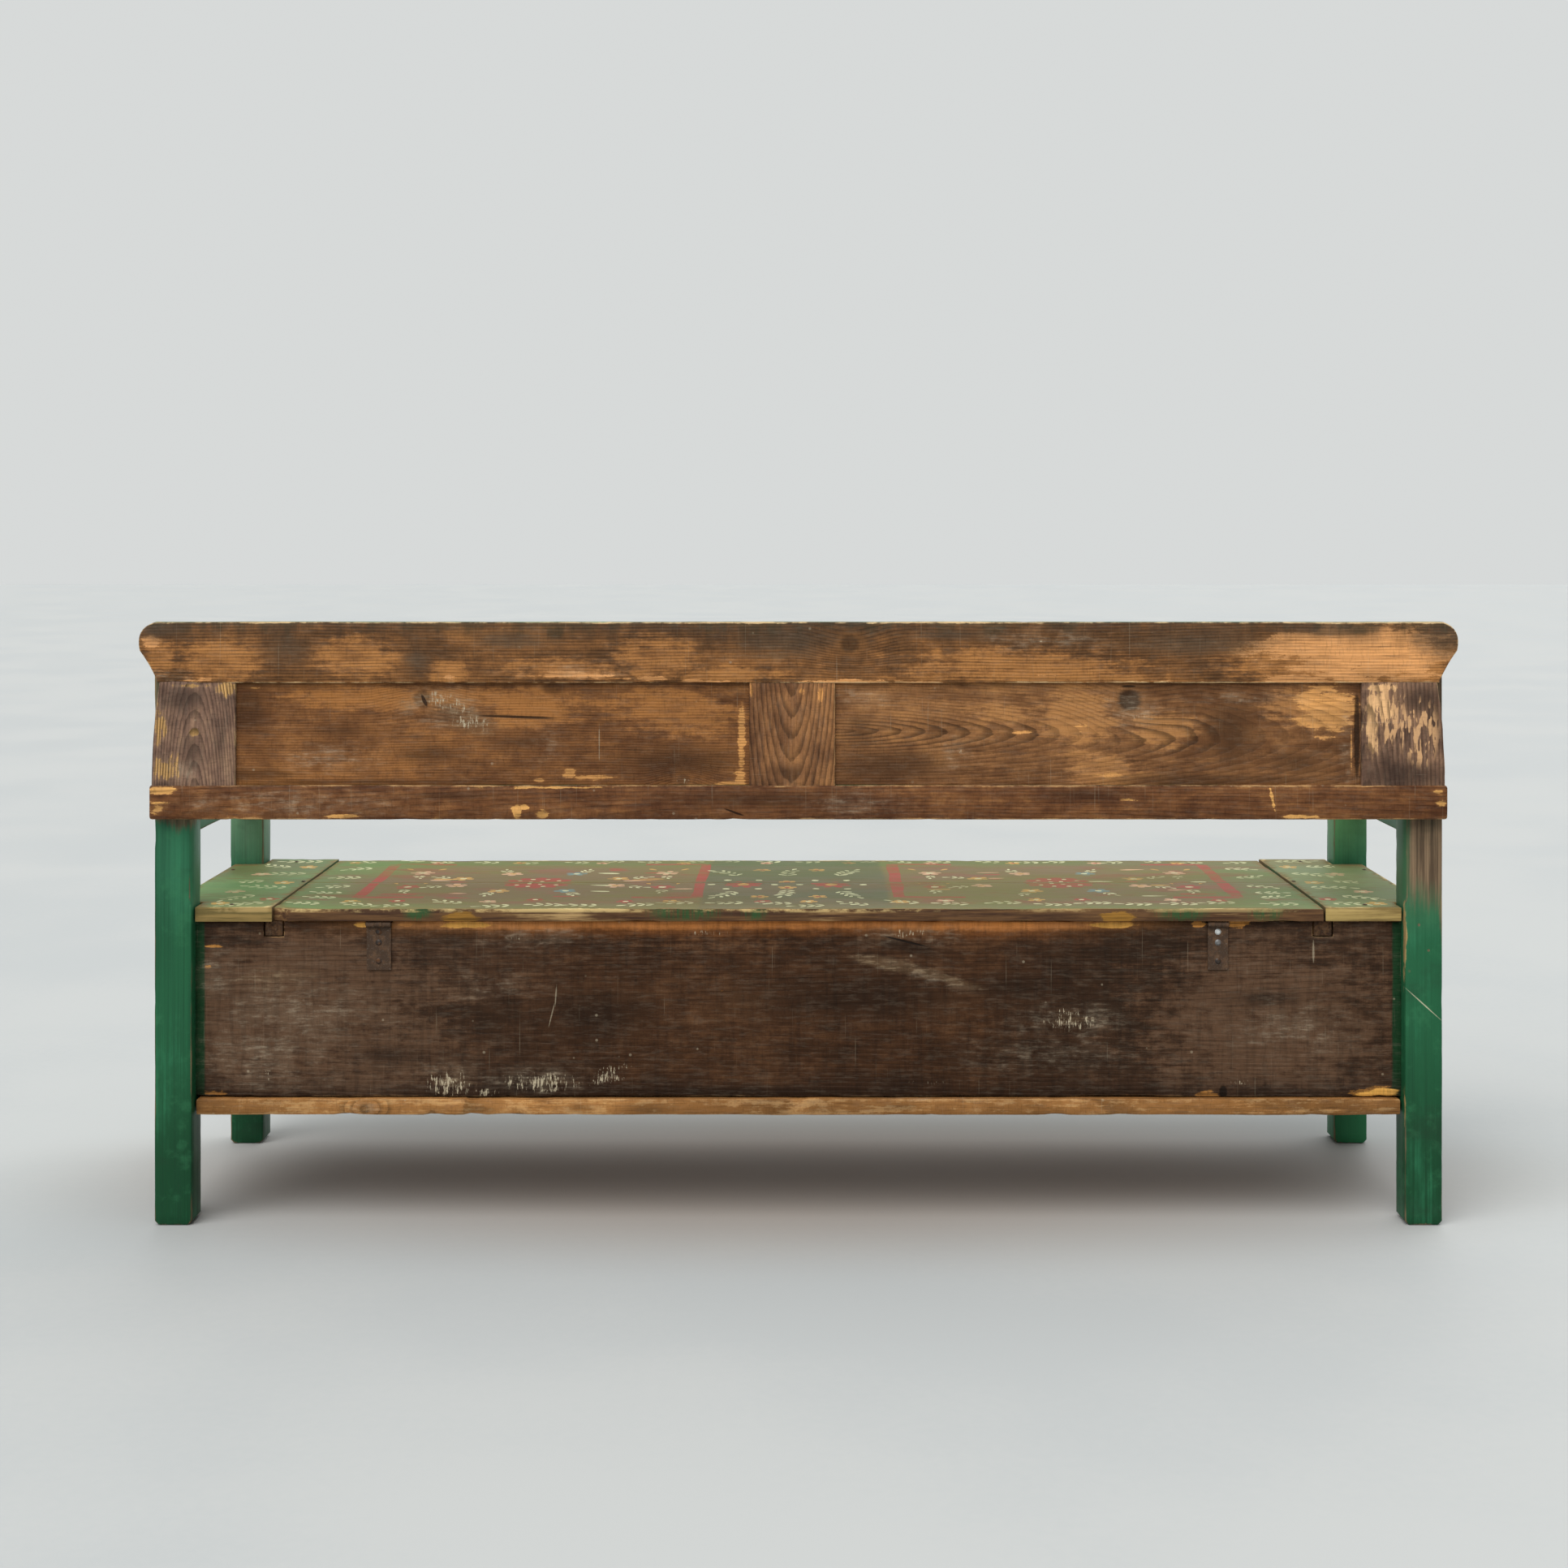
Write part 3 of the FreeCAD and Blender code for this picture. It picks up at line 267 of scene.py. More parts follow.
def timber(name, fibre, tones, seed, pitch=240.0, pith=None, face="y", scale=REST_SCALE, face_y=RAIL_FACE,
           bare=(), gold=(), dark=(), pale=(), hatch=(), faded=(), scores=(), ringed=(), knots=(), cracks=(),
           extra=None, wear=0.5, rim=0.0, gloss=0.5, scuff=0.4, lines=0.34, ridges=0.4, soot_tone=None):
    """Old stained softwood: tones are deep, middle, light and bare; the marks are the photograph's.

    A knot is (photo x, photo y, radius, darkness).
    """
    net = Net(name)
    bends = [net.spot(on_face(px, py, scale, face_y), (size * 3.6 / scale, 0.05, size * 2.2 / scale),
                      soft=0.95) for px, py, size, _ in knots]
    grain = Grain(net, fibre, face, seed, pitch, pith, bends)

    def near(marks):
        return nearness(net, marks, scale, face_y)

    def torn_at(closeness, tear, low, high):
        """A mask of some marks, with edges torn along the grain."""
        return net.ramp(closeness + grain.torn * tear, low, high)

    deep, middle, light, raw = tones
    tone = grain.stain * 0.6 + grain.cloud * 0.4 + grain.mottle * 0.26 + grain.streak_off * 0.26 - 0.13
    if gold:
        tone = tone + torn_at(near(gold), 0.6, -0.4, 0.4) * 0.2
    tone = tone + grain.flake_off * 0.28
    net.colour = net.between(tone, deep, middle, 0.36, 0.58)
    net.coat(net.ramp(tone + grain.flake_off * 0.2, 0.50, 0.72), light)
    net.darken(grain.late, lines)
    if ringed:
        net.darken(torn_at(near(ringed), 0.3, -0.4, 0.4) * grain.late, 0.45)
    net.darken(net.ramp(grain.fibre, 0.55, 0.28), 0.31)
    raw_wood = net.between(grain.stain + grain.streak_off * 0.7, darker(raw, 0.82), raw)
    raw_wood = net.shade(raw_wood, grain.late, ridges)
    raw_wood = net.shade(raw_wood, net.ramp(grain.fibre, 0.52, 0.26), 0.4)
    # Bare wood: along the edges, in torn places, and where the marks say
    arris = net.attribute("arris")
    bare_mask = net.ramp(arris * 0.6 + grain.torn * 0.32, 0.56, 0.72) * wear
    bare_mask = net.most([bare_mask, net.ramp(grain.torn + (grain.cloud - 0.5) * 1.2, 1.05, 1.2) * 0.7])
    along = {"x": net.nx, "y": net.ny, "z": net.nz}[fibre]
    flank = net.ramp(abs(along), 0.5, 0.8, 1.0, 0.3)
    bare_mask = bare_mask * flank
    if bare:
        spots = near(bare)
        net.coat(torn_at(spots, 0.6, -0.5, 0.35) * 0.45, light)
        bare_mask = net.most([bare_mask, torn_at(spots, 1.0, -0.08, 0.12)])
    net.coat(bare_mask, raw_wood)
    if dark:
        net.coat(torn_at(near(dark), 0.7, -0.6, 0.6) * 0.7, soot_tone or darker(deep, 0.66))
    if extra:
        extra(net, grain)
    for px, py, size, depth in knots:
        place = on_face(px, py, scale, face_y)
        halo = net.spot(place, (size * 1.6 / scale, MARK_DEPTH, size * 1.4 / scale), grain.torn * 0.3, 0.35)
        core = net.spot(place, (size / scale, MARK_DEPTH, size * 0.95 / scale), grain.torn * 0.15)
        net.coat(halo * 0.15, light)
        net.coat(core * depth, darker(deep, 0.5))
    edge = net.ramp(arris + grain.torn * 0.3, 0.90, 1.02) * flank * rim
    net.coat(edge, (214, 184, 136))
    # Dust, scratches and scuffs on top
    dust = net.ramp(net.noise(lay(fibre, 40.0, 190.0), 3.0, 0.7, seed + 17.0), 0.46, 0.72)
    upright = net.noise(lay(fibre, 420.0, 80.0), 3.0, 0.7, seed + 29.0)
    scratch = net.ramp(net.noise(lay(fibre, 420.0, 9.0), 2.0, 0.5, seed + 23.0), 0.68, 0.76) * 0.5
    pale_mask = net.most([scratch, net.specks(60.0, 0.16, 0.07, seed + 2.0)]) * scuff
    if pale:
        haze = torn_at(near(pale), 0.4, -0.7, 0.7) * (dust * 0.3 + 0.08) * net.ramp(grain.mottle, 0.36, 0.6)
        net.coat(haze, (176, 160, 136))
    if faded:
        net.coat(torn_at(near(faded), 0.6, -0.3, 0.7) * (dust * 0.5 + 0.16), (136, 114, 86))
    if hatch:
        spots = near(hatch)
        strokes = net.ramp(upright + grain.flake_off * 0.4 + spots * 0.13, 0.57, 0.67)
        pale_mask = net.most([pale_mask, strokes * torn_at(spots, 0.4, -0.5, 0.1) * 1.4])
    if scores:
        line = net.ramp(near(scores) + grain.flake_off * 1.5, -0.3, 0.3)
        pale_mask = net.most([pale_mask, line * 0.6])
    net.coat(pale_mask * 0.6, (184, 171, 144))
    net.coat(dust * 0.06, (170, 156, 136))
    net.darken(net.ramp(upright, 0.5, 0.3), 0.22)
    height = grain.fibre * 0.4 + grain.streak * 0.3 - grain.late * 0.5 - bare_mask * 0.3
    if cracks:
        split = net.ramp(near(cracks) + grain.streak_off * 0.9, -0.25, 0.25)
        net.coat(split * 0.9, darker(deep, 0.42))
        height = height - split * 1.5
    rough = net.ramp(grain.stain, 0.3, 0.7, gloss, gloss + 0.16) + bare_mask * 0.12
    return net.finish(rough, height)


# Geometry of worn boards

AXES = {"XY": (0, 1, 2), "XZ": (0, 2, 1), "YZ": (1, 2, 0)}
# Rows of faces on a board's edges, how far a quiet joint reaches, and the angle that stays sharp
ROW_HEIGHT, QUIET_REACH, SHARP_FROM = 0.016, 0.006, math.radians(42)


def lattice(points, seed):
    """Random numbers from 0 to 1 at whole-number places, always the same for one seed."""
    cells = points.astype(np.int64)
    mixed = cells[:, 0] * 374761393 + cells[:, 1] * 668265263 + cells[:, 2] * 2147483647 + seed * 974634777
    mixed = (mixed ^ (mixed >> 13)) * 1274126177
    mixed = mixed ^ (mixed >> 16)
    return (mixed & 0xFFFFFF) / float(0xFFFFFF)


def field(points, cells, seed):
    """Smooth noise from 0 to 1 with so many cells per metre."""
    scaled = points * cells
    base = np.floor(scaled)
    part = scaled - base
    part = part * part * (3 - 2 * part)
    total = np.zeros(len(points))
    for corner in range(8):
        offset = np.array([(corner >> axis) & 1 for axis in range(3)])
        weight = np.prod(np.where(offset, part, 1 - part), axis=1)
        total += weight * lattice(base + offset, seed)
    return total


def rectangle(low_u, high_u, low_v, high_v):
    return [(low_u, low_v), (high_u, low_v), (high_u, high_v), (low_u, high_v)]


def soften(outline, radius):
    """Rounds the outward corners of an outline with short arcs."""
    made = []
    count = len(outline)
    for i, corner in enumerate(outline):
        here = Vector(corner)
        to_last = Vector(outline[i - 1]) - here
        to_next = Vector(outline[(i + 1) % count]) - here
        room = min(to_last.length, to_next.length) * 0.45
        turn = -to_last.normalized().cross(to_next.normalized())
        if turn < 0.3 or room < radius:
            made.append(here)
            continue
        start = here + to_last.normalized() * radius
        end = here + to_next.normalized() * radius
        for share in (0.0, 0.33, 0.67, 1.0):
            made.append((start * (1 - share) + here * share) * (1 - share)
                        + (here * (1 - share) + end * share) * share)
    return made


def resample(outline, step):
    made = []
    for i, corner in enumerate(outline):
        here, there = Vector(corner), Vector(outline[(i + 1) % len(outline)])
        parts = max(1, round((there - here).length / step))
        made += [here.lerp(there, n / parts) for n in range(parts)]
    return np.array([tuple(p) for p in made])


def inset(loop, distance):
    """Moves a counter-clockwise loop inwards."""
    ahead = np.roll(loop, -1, 0) - loop
    ahead /= np.linalg.norm(ahead, axis=1)[:, None]
    normal = np.stack([-ahead[:, 1], ahead[:, 0]], 1)
    before = np.roll(normal, 1, 0)
    share = 1 + np.sum(normal * before, axis=1)
    return loop + (normal + before) / np.maximum(share, 0.4)[:, None] * distance


def inside(points, loop):
    """Which points lie inside a loop, by counting crossings."""
    result = np.zeros(len(points), bool)
    for a, b in zip(loop, np.roll(loop, -1, 0)):
        crosses = (a[1] > points[:, 1]) != (b[1] > points[:, 1])
        at = a[0] + (points[:, 1] - a[1]) * (b[0] - a[0]) / (b[1] - a[1] + 1e-12)
        result ^= crosses & (points[:, 0] < at)
    return result


def fill_face(loop, spacing, creases, strokes):
    """Triangles inside a loop: (new points, triangles, ink of each). Loop points come first."""
    low, high = loop.min(0) + spacing * 0.55, loop.max(0) - spacing * 0.55
    counts = [max(2, 1 + int(round(length / spacing))) for length in high - low]
    grid = [np.linspace(low[i], high[i], counts[i]) for i in (0, 1)]
    inner = np.stack(np.meshgrid(*grid), -1).reshape(-1, 2)
    inner = inner[inside(inner, inset(loop, spacing * 0.45))]
    coords = [Vector(p) for p in loop] + [Vector(p) for p in inner]
    edges = []
    for crease in creases:
        start = len(coords)
        coords += [Vector(p) for p in crease]
        edges += [(start + i, start + (i + 1) % len(crease)) for i in range(len(crease))]
    faces = [list(range(len(loop)))]
    inks = [0]
    for polygon, ink in strokes:
        faces.append(list(range(len(coords), len(coords) + len(polygon))))
        inks.append(ink)
        coords += [Vector(p) for p in polygon]
    points, _, triangles, sources, _, owners = delaunay_2d_cdt(coords, edges, faces, 0, 1e-6)
    count = len(loop)
    number = {}
    added = []
    for i, source in enumerate(sources):
        on_loop = [s for s in source if s < count]
        if on_loop:
            number[i] = on_loop[0]
        else:
            number[i] = count + len(added)
            added.append(tuple(points[i]))
    kept = [(tuple(number[i] for i in triangle), inks[max(owner)])
            for triangle, owner in zip(triangles, owners) if 0 in owner]
    return added, [k[0] for k in kept], [k[1] for k in kept]


def slab(node, plane, material, outline=None, depth=None, corner=0, round_by=0.0025, step=0.012,
         fill=0.024, wave=0.0006, chip=0.002, seed=1, creases=(), strokes=(), shape=None, quiet=None):
    """A worn board in place of a CAD node: an outline with rounded, nicked edges, given its depth.

    Creases are insets of the outline cut into the near face, strokes lie on the far face, and the edges
    stay whole where the axis quiet[0] is at quiet[1].
    """
    u, v, w = AXES[plane]
    low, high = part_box(node)
    near, far = depth or (low[w], high[w])
    if outline is None:
        outline = rectangle(low[u], high[u], low[v], high[v])
    loop = resample(soften(outline, corner) if corner else outline, step)
    thick = far - near
    r = min(round_by, thick * 0.3)
    rows = max(1, int(round((thick - 2 * r) / ROW_HEIGHT)))
    rings = [(r, 0.0, 0.75), (r * 0.3, r * 0.3, 1.0)]
    for i in range(rows + 1):
        rings.append((0.0, r + (thick - 2 * r) * i / rows, 0.9 if i in (0, rows) else 0.0))
    rings += [(r * 0.3, thick - r * 0.3, 1.0), (r, thick, 0.75)]
    count = len(loop)
    flat, depths, arris, faces = [], [], [], []
    for distance, level, edge in rings:
        flat += [tuple(p) for p in inset(loop, distance)]
        depths += [near + level] * count
        arris += [edge] * count
    for ring in range(len(rings) - 1):
        for i in range(count):
            j = (i + 1) % count
            faces.append((ring * count + i, ring * count + j, (ring + 1) * count + j, (ring + 1) * count + i))
    inks = [0] * len(faces)
    rim = np.array(flat[:count])
    for side in (0, 1):
        first = side * (len(rings) - 1) * count
        lines = [resample(inset(np.array(outline), d), fill) for d in creases] if side == 0 else []
        added, triangles, ink = fill_face(rim, fill, lines, strokes if side else ())
        start = len(flat)
        flat += added
        depths += [far if side else near] * len(added)
        arris += [0.0] * len(added)
        faces += [tuple(first + i if i < count else start + i - count for i in t) for t in triangles]
        inks += ink
    points = np.zeros((len(flat), 3))
    points[:, [u, v]] = np.array(flat)
    points[:, w] = depths
    if shape:
        points = shape(points)
    mesh = bpy.data.meshes.new(node + "_worn")
    mesh.from_pydata(points.tolist(), [], faces)
    shell = bmesh.new()
    shell.from_mesh(mesh)
    bmesh.ops.recalc_face_normals(shell, faces=shell.faces)
    shell.to_mesh(mesh)
    shell.free()
    normals = np.zeros(len(flat) * 3, np.float32)
    mesh.vertex_normals.foreach_get("vector", normals)
    edge = np.array(arris)
    sink = wave * field(points, 9.0, seed) + wave * 0.5 * field(points, 31.0, seed + 5)
    groups = np.clip(field(points, 6.0, seed + 23) * 3.2 - 1.5, 0, 1)
    nick = np.clip(field(points, 70.0, seed + 11) - 0.6, 0, 1) * 2.2 * groups
    nick += np.clip(field(points, 21.0, seed + 17) - 0.74, 0, 1) * 3.2
    sink += edge * chip * nick
    if quiet:
        still = np.abs(points[:, quiet[0]] - quiet[1]) < QUIET_REACH
        sink[still] *= 0.15
        edge[still] = 0.0
    points -= normals.reshape(-1, 3) * sink[:, None]
    mesh.vertices.foreach_set("co", points.astype(np.float32).ravel())
    mesh.attributes.new("arris", "FLOAT", "POINT").data.foreach_set("value", edge.astype(np.float32))
    if strokes:
        totals = np.zeros(len(mesh.polygons), np.int32)
        mesh.polygons.foreach_get("loop_total", totals)
        ink_of = mesh.attributes.new("ink", "FLOAT", "CORNER")
        ink_of.data.foreach_set("value", np.repeat(np.array(inks, np.float32), totals))
    mesh.polygons.foreach_set("use_smooth", np.ones(len(mesh.polygons), bool))
    mesh.set_sharp_from_angle(angle=SHARP_FROM)
    mesh.update()
    mesh.materials.append(material)
    piece = bpy.data.objects.new(node + "_worn", mesh)
    bpy.context.scene.collection.objects.link(piece)
    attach(piece, BODY_OF[node])
    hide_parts(node)


# Timber of the backrest and the back of the chest

def brushed_green(net, grain, fibre, seed):
    """A ground of old green oil paint, darker near the floor. Returns the brush marks along the fibre."""
    brush = net.noise(lay(fibre, 3.0, 260.0), 3.0, 0.6, seed + 2.0)
    level = net.z + grain.stain_off * 0.2
    net.colour = net.between(level, (18, 63, 37), (32, 88, 57), 0.05, 0.36)
    net.coat(net.ramp(level, 0.40, 0.52), (46, 106, 75))
    net.coat(net.ramp(grain.stain + (brush - 0.5) * 0.35, 0.5, 0.75) * 0.6, (46, 118, 82))
    net.coat(net.ramp(grain.cloud + (brush - 0.5) * 0.25, 0.48, 0.3) * 0.6, (20, 56, 38))
    net.coat(net.ramp(grain.mottle, 0.52, 0.7) * 0.3, (52, 114, 76))
    net.darken(net.ramp(brush, 0.5, 0.25), 0.1)
    return brush


def green_front(net, grain):
    """The backrest is painted on the sitter's side, and the paint laps over its top edge."""
    wood = net.colour
    brushed_green(net, grain, "x", 90.0)
    front = net.ramp(net.ny, -0.3, -0.6)
    lap = net.ramp(net.nz, 0.5, 0.8) * net.ramp(net.y + grain.stain_off * 0.02, 0.275, 0.268)
    worn = net.ramp(net.attribute("arris") * 0.5 + grain.torn * 0.4, 0.62, 0.72) * 0.8
    net.colour = net.mix(net.most([front, lap]) * (1.0 - worn), wood, net.colour)


def top_rail_darkening(net, grain):
    """The upper edge is nearly black from hands and soot, with a faint green cast."""
    runs = net.noise((30.0, 30.0, 5.0), 4.0, 0.65, 3.3) - 0.5
    level = net.z + grain.stain_off * 0.06 + runs * 0.07
    net.coat(net.ramp(level, 0.850, 0.890) * 0.54, (54, 43, 33))
    net.coat(net.ramp(level, 0.876, 0.893) * 0.4, (40, 46, 33))
    green_front(net, grain)


def bare_inside(net, grain):
    """The wood inside the chest, never painted."""
    return net.shade(net.between(grain.stain, (112, 78, 46), (150, 108, 66)), grain.late, 0.3)


def back_board_edges(net, grain):
    """Green overpaint at both ends, a dark foot, a bare, bruised top edge with a band of painted light under
    the lid, and splinters broken off, partly painted light.
    """
    overpaint = net.ramp(abs(net.x) + grain.stain_off * 0.006, 0.8795, 0.8825) * net.ramp(net.ny, 0.2, 0.6)
    net.coat(overpaint, (24, 54, 30))
    foot = net.ramp(net.z + grain.stain_off * 0.04, 0.225, 0.188)
    net.coat(foot * 0.5, (36, 26, 20))
    rubbed = net.ramp(net.z + grain.stain_off * 0.03 + grain.flake_off * 0.02, 0.412, 0.444)
    net.coat(rubbed * net.ramp(abs(net.x - 0.1), 0.75, 0.35) * 0.5, (160, 104, 56))
    # Painted light: a lighter band just under the lid, where the lid's shadow falls.
    brow = net.ramp(net.z + grain.stain_off * 0.014 + grain.flake_off * 0.012, 0.429, 0.440)
    net.coat(brow * net.ramp(abs(net.x - 0.06), 0.66, 0.42) * 0.6, (226, 158, 96))
    net.coat(net.ramp(abs(net.x), 0.6, 0.25), (255, 238, 214), "MULTIPLY")
    # Bare places where splinters broke off; their pale colour is partly painted light, brighter than the wood
    # to stand against the lid's shadow.
    splinters = [(1696, 1351, 28, 7), (1706, 1346, 16, 5), (572, 1140, 34, 4), (448, 1140, 12, 3),
                 (1372, 1140, 30, 4)]
    split_off_and_painted_light = nearness(net, splinters, BOARD_SCALE, BOARD_FACE)
    net.coat(net.ramp(split_off_and_painted_light + grain.torn * 0.5, -0.15, 0.15) * 0.88, (228, 170, 84))
    net.coat(net.ramp(net.ny, -0.3, -0.6), bare_inside(net, grain))
    net.darken(net.ramp(net.noise((110.0, 110.0, 9.0), 3.0, 0.6, 19.0), 0.55, 0.35), 0.2)


def slanting_flecks(net, grain):
    """The stain wore off the right stile in leaf-shaped flecks that lean with the grain."""
    for seed, turn, marks in ((1.0, 14.0, [(1706, 880, 26, 40)]), (5.0, -20.0, [(1750, 902, 26, 40)])):
        lean = net.mapped((170.0, 60.0, 40.0), (seed,) * 3, math.radians(turn))
        leaf = net.node("TexNoise", {"Vector": lean, "Scale": 1.0, "Detail": 2.0})
        near = net.ramp(nearness(net, marks, REST_SCALE, STILE_FACE) + grain.stain_off * 1.2, -0.2, 0.3)
        leaves = near * net.ramp(leaf + grain.flake_off * 0.15, 0.535, 0.58)
        net.coat(leaves * 0.85, (206, 161, 115))
    green_front(net, grain)


def dark_ends(net, grain):
    """The ends that show at the back took the same dark stain as the board they sit in."""
    stain = net.between(grain.streak, (52, 36, 26), (88, 63, 42))
    net.coat(net.ramp(net.y, 0.2270, 0.2290), stain)


top_rail_wood = timber(
    "top_rail_wood", "x", ((90, 61, 36), (138, 93, 53), (172, 118, 66), (224, 160, 100)), 1.0, pitch=230.0,
    pith=(0.70, 0.3, 0.05, 0.01),
    bare=[(1680, 810, 100, 34, 1.1), (1738, 812, 34, 28), (1606, 784, 44, 8, 0.8), (1600, 836, 64, 7, 0.7),
          (186, 791, 14, 9, 0.7), (250, 838, 60, 5, 0.3), (552, 834, 14, 6, 0.4), (700, 830, 62, 9, 0.6),
          (800, 836, 50, 5, 0.3), (1240, 830, 120, 9, 0.0), (1130, 842, 70, 3.5, 0.7),
          (1040, 840, 60, 3, 0.7), (860, 840, 60, 3, 0.6)],
    gold=[(268, 814, 46, 28), (196, 808, 20, 20), (436, 808, 44, 24), (552, 830, 24, 14),
          (700, 826, 66, 14), (806, 812, 46, 26), (1270, 822, 130, 22), (1600, 820, 90, 26),
          (1740, 820, 60, 30), (900, 832, 60, 10)],
    dark=[(200, 776, 26, 10), (352, 796, 44, 28, 0.5), (514, 812, 18, 28, 0.7), (966, 790, 50, 16),
          (1470, 792, 90, 18, 0.8), (1780, 788, 30, 20), (1640, 776, 42, 6, 1.2), (1655, 845, 40, 3),
          (630, 790, 50, 12, 0.6), (1180, 782, 60, 8, 0.6)],
    pale=[(205, 836, 34, 8), (700, 828, 50, 8), (1290, 788, 60, 12)],
    hatch=[(1280, 790, 36, 4, 0.0), (640, 800, 20, 10, -0.1)],
    knots=[(1047, 793, 11, 0.6)],
    extra=top_rail_darkening, wear=0.6, rim=0.75, lines=0.4, ridges=0.24, soot_tone=(72, 60, 47))

panel_tones = ((92, 58, 33), (130, 86, 49), (160, 107, 58), (220, 158, 92))
panel_left_wood = timber(
    "panel_left_wood", "x", panel_tones, 5.0, pitch=260.0, pith=(0.86, 0.4, 0.03, 0.015), face_y=PANEL_FACE,
    bare=[(702, 954, 7, 7), (732, 959, 28, 3.5), (664, 962, 7, 3), (914, 905, 4, 36), (912, 960, 7, 9),
          (900, 966, 16, 2.5), (310, 848, 20, 4, 0.3)],
    gold=[(836, 878, 72, 28), (530, 862, 150, 14), (660, 880, 50, 16)],
    dark=[(830, 938, 76, 20, 0.8), (306, 874, 18, 26), (530, 930, 44, 12, 0.7), (682, 848, 12, 7),
          (300, 955, 60, 9, 0.7), (480, 964, 260, 5, 0.5), (640, 915, 60, 12, 0.4), (420, 900, 60, 14, 0.3)],
    pale=[(410, 935, 46, 15), (670, 915, 14, 26, 0.7), (545, 872, 46, 20)],
    hatch=[(550, 868, 34, 13, 0.7, -25), (580, 890, 26, 10, 0.8, -12), (842, 962, 18, 5, 0.4)],
    faded=[(552, 872, 36, 16, 1.3, -25), (580, 890, 30, 12, 1.3, -12), (500, 872, 20, 12, 0.7)],
    knots=[(519, 862, 11, 0.6), (842, 962, 8, 0.35)],
    cracks=[(638, 884, 46, 1.6, 1, -2), (522, 864, 2, 8, 1, 24)],
    scores=[(738, 915, 0.6, 20)],
    wear=0.25, lines=0.2, extra=green_front)
panel_right_wood = timber(
    "panel_right_wood", "x", ((98, 64, 38), (138, 95, 58), (168, 118, 70), (222, 160, 94)), 6.0,
    pitch=230.0, pith=(0.7255, -0.03, 0.004, 0.13), face_y=PANEL_FACE,
    bare=[(1640, 876, 28, 24, 1.2), (1667, 915, 1.6, 44, 0.6), (1616, 888, 26, 7, 0.9),
          (1620, 858, 34, 5, 0.9), (1366, 956, 24, 10, 0.3), (1262, 903, 24, 4, 0.3, 8),
          (1334, 892, 30, 26, -0.25), (1440, 898, 26, 14, -0.25)],
    gold=[(1364, 952, 40, 18), (1330, 885, 40, 30), (1440, 898, 34, 20), (1240, 880, 60, 14, 0.5),
          (1615, 872, 50, 22)],
    dark=[(1520, 905, 26, 36), (1100, 945, 64, 18, 0.9), (1500, 962, 120, 6), (1060, 900, 24, 30, 0.4),
          (1600, 940, 40, 18, 0.6)],
    pale=[(1064, 860, 36, 10), (1180, 928, 14, 18), (1526, 860, 66, 6), (1392, 874, 30, 18),
          (1660, 920, 7, 44)],
    hatch=[(1184, 925, 8, 14, 0.1), (1394, 884, 30, 6, 0.3)],
    knots=[(1393, 863, 14, 0.92)],
    cracks=[(1392, 846, 9, 1.4), (1674, 906, 3.5, 52)],
    ringed=[(1140, 905, 120, 20), (1450, 904, 60, 26), (1262, 903, 40, 12)],
    wear=0.25, lines=0.22, ridges=0.24, extra=green_front)

stile_left_wood = timber(
    "stile_left_wood", "z", ((86, 66, 56), (132, 102, 84), (162, 130, 102), (208, 162, 102)), 9.0,
    pitch=250.0, pith=((MIDDLE_PX - 238) / REST_SCALE, 0.72, 0.02, 0.16), face_y=STILE_FACE,
    bare=[(199, 894, 14, 30, 0.5), (204, 946, 22, 20, 0.6), (240, 902, 7, 4), (278, 848, 12, 9),
          (232, 845, 40, 4, 0.5)],
    dark=[(225, 862, 24, 14), (236, 930, 16, 24, 0.6), (270, 915, 10, 34, 0.5)],
    pale=[(228, 950, 20, 10), (200, 860, 10, 10)],
    wear=0.5, rim=0.3, lines=0.45, ridges=0.8, extra=green_front)
stile_middle_wood = timber(
    "stile_middle_wood", "z", ((84, 55, 36), (126, 86, 55), (160, 112, 70), (214, 150, 86)), 10.0,
    pitch=160.0, pith=((MIDDLE_PX - 974) / REST_SCALE, 0.64, 0.045, -0.2), face_y=STILE_FACE,
    bare=[(926, 852, 4, 22, 0.6), (985, 852, 14, 8, 0.2), (1012, 856, 5, 18, 0.2)],
    dark=[(970, 950, 30, 12, 0.5)],
    wear=0.4, rim=0.2, lines=0.5, ridges=0.6, extra=green_front)
stile_right_wood = timber(
    "stile_right_wood", "z", ((84, 63, 52), (130, 99, 78), (166, 128, 96), (228, 180, 128)), 11.0,
    pitch=180.0, pith=((MIDDLE_PX - 1690) / REST_SCALE, 0.70, 0.03, 0.1), face_y=STILE_FACE,
    bare=[(1690, 888, 11, 48, 0.7), (1708, 872, 14, 30, 0.4), (1700, 848, 26, 5, 0.6)],
    dark=[(1752, 862, 22, 14), (1728, 954, 46, 13), (1708, 940, 12, 14, 0.6), (1766, 880, 8, 20)],
    wear=0.3, rim=0.15, lines=0.4, ridges=0.65, extra=slanting_flecks)

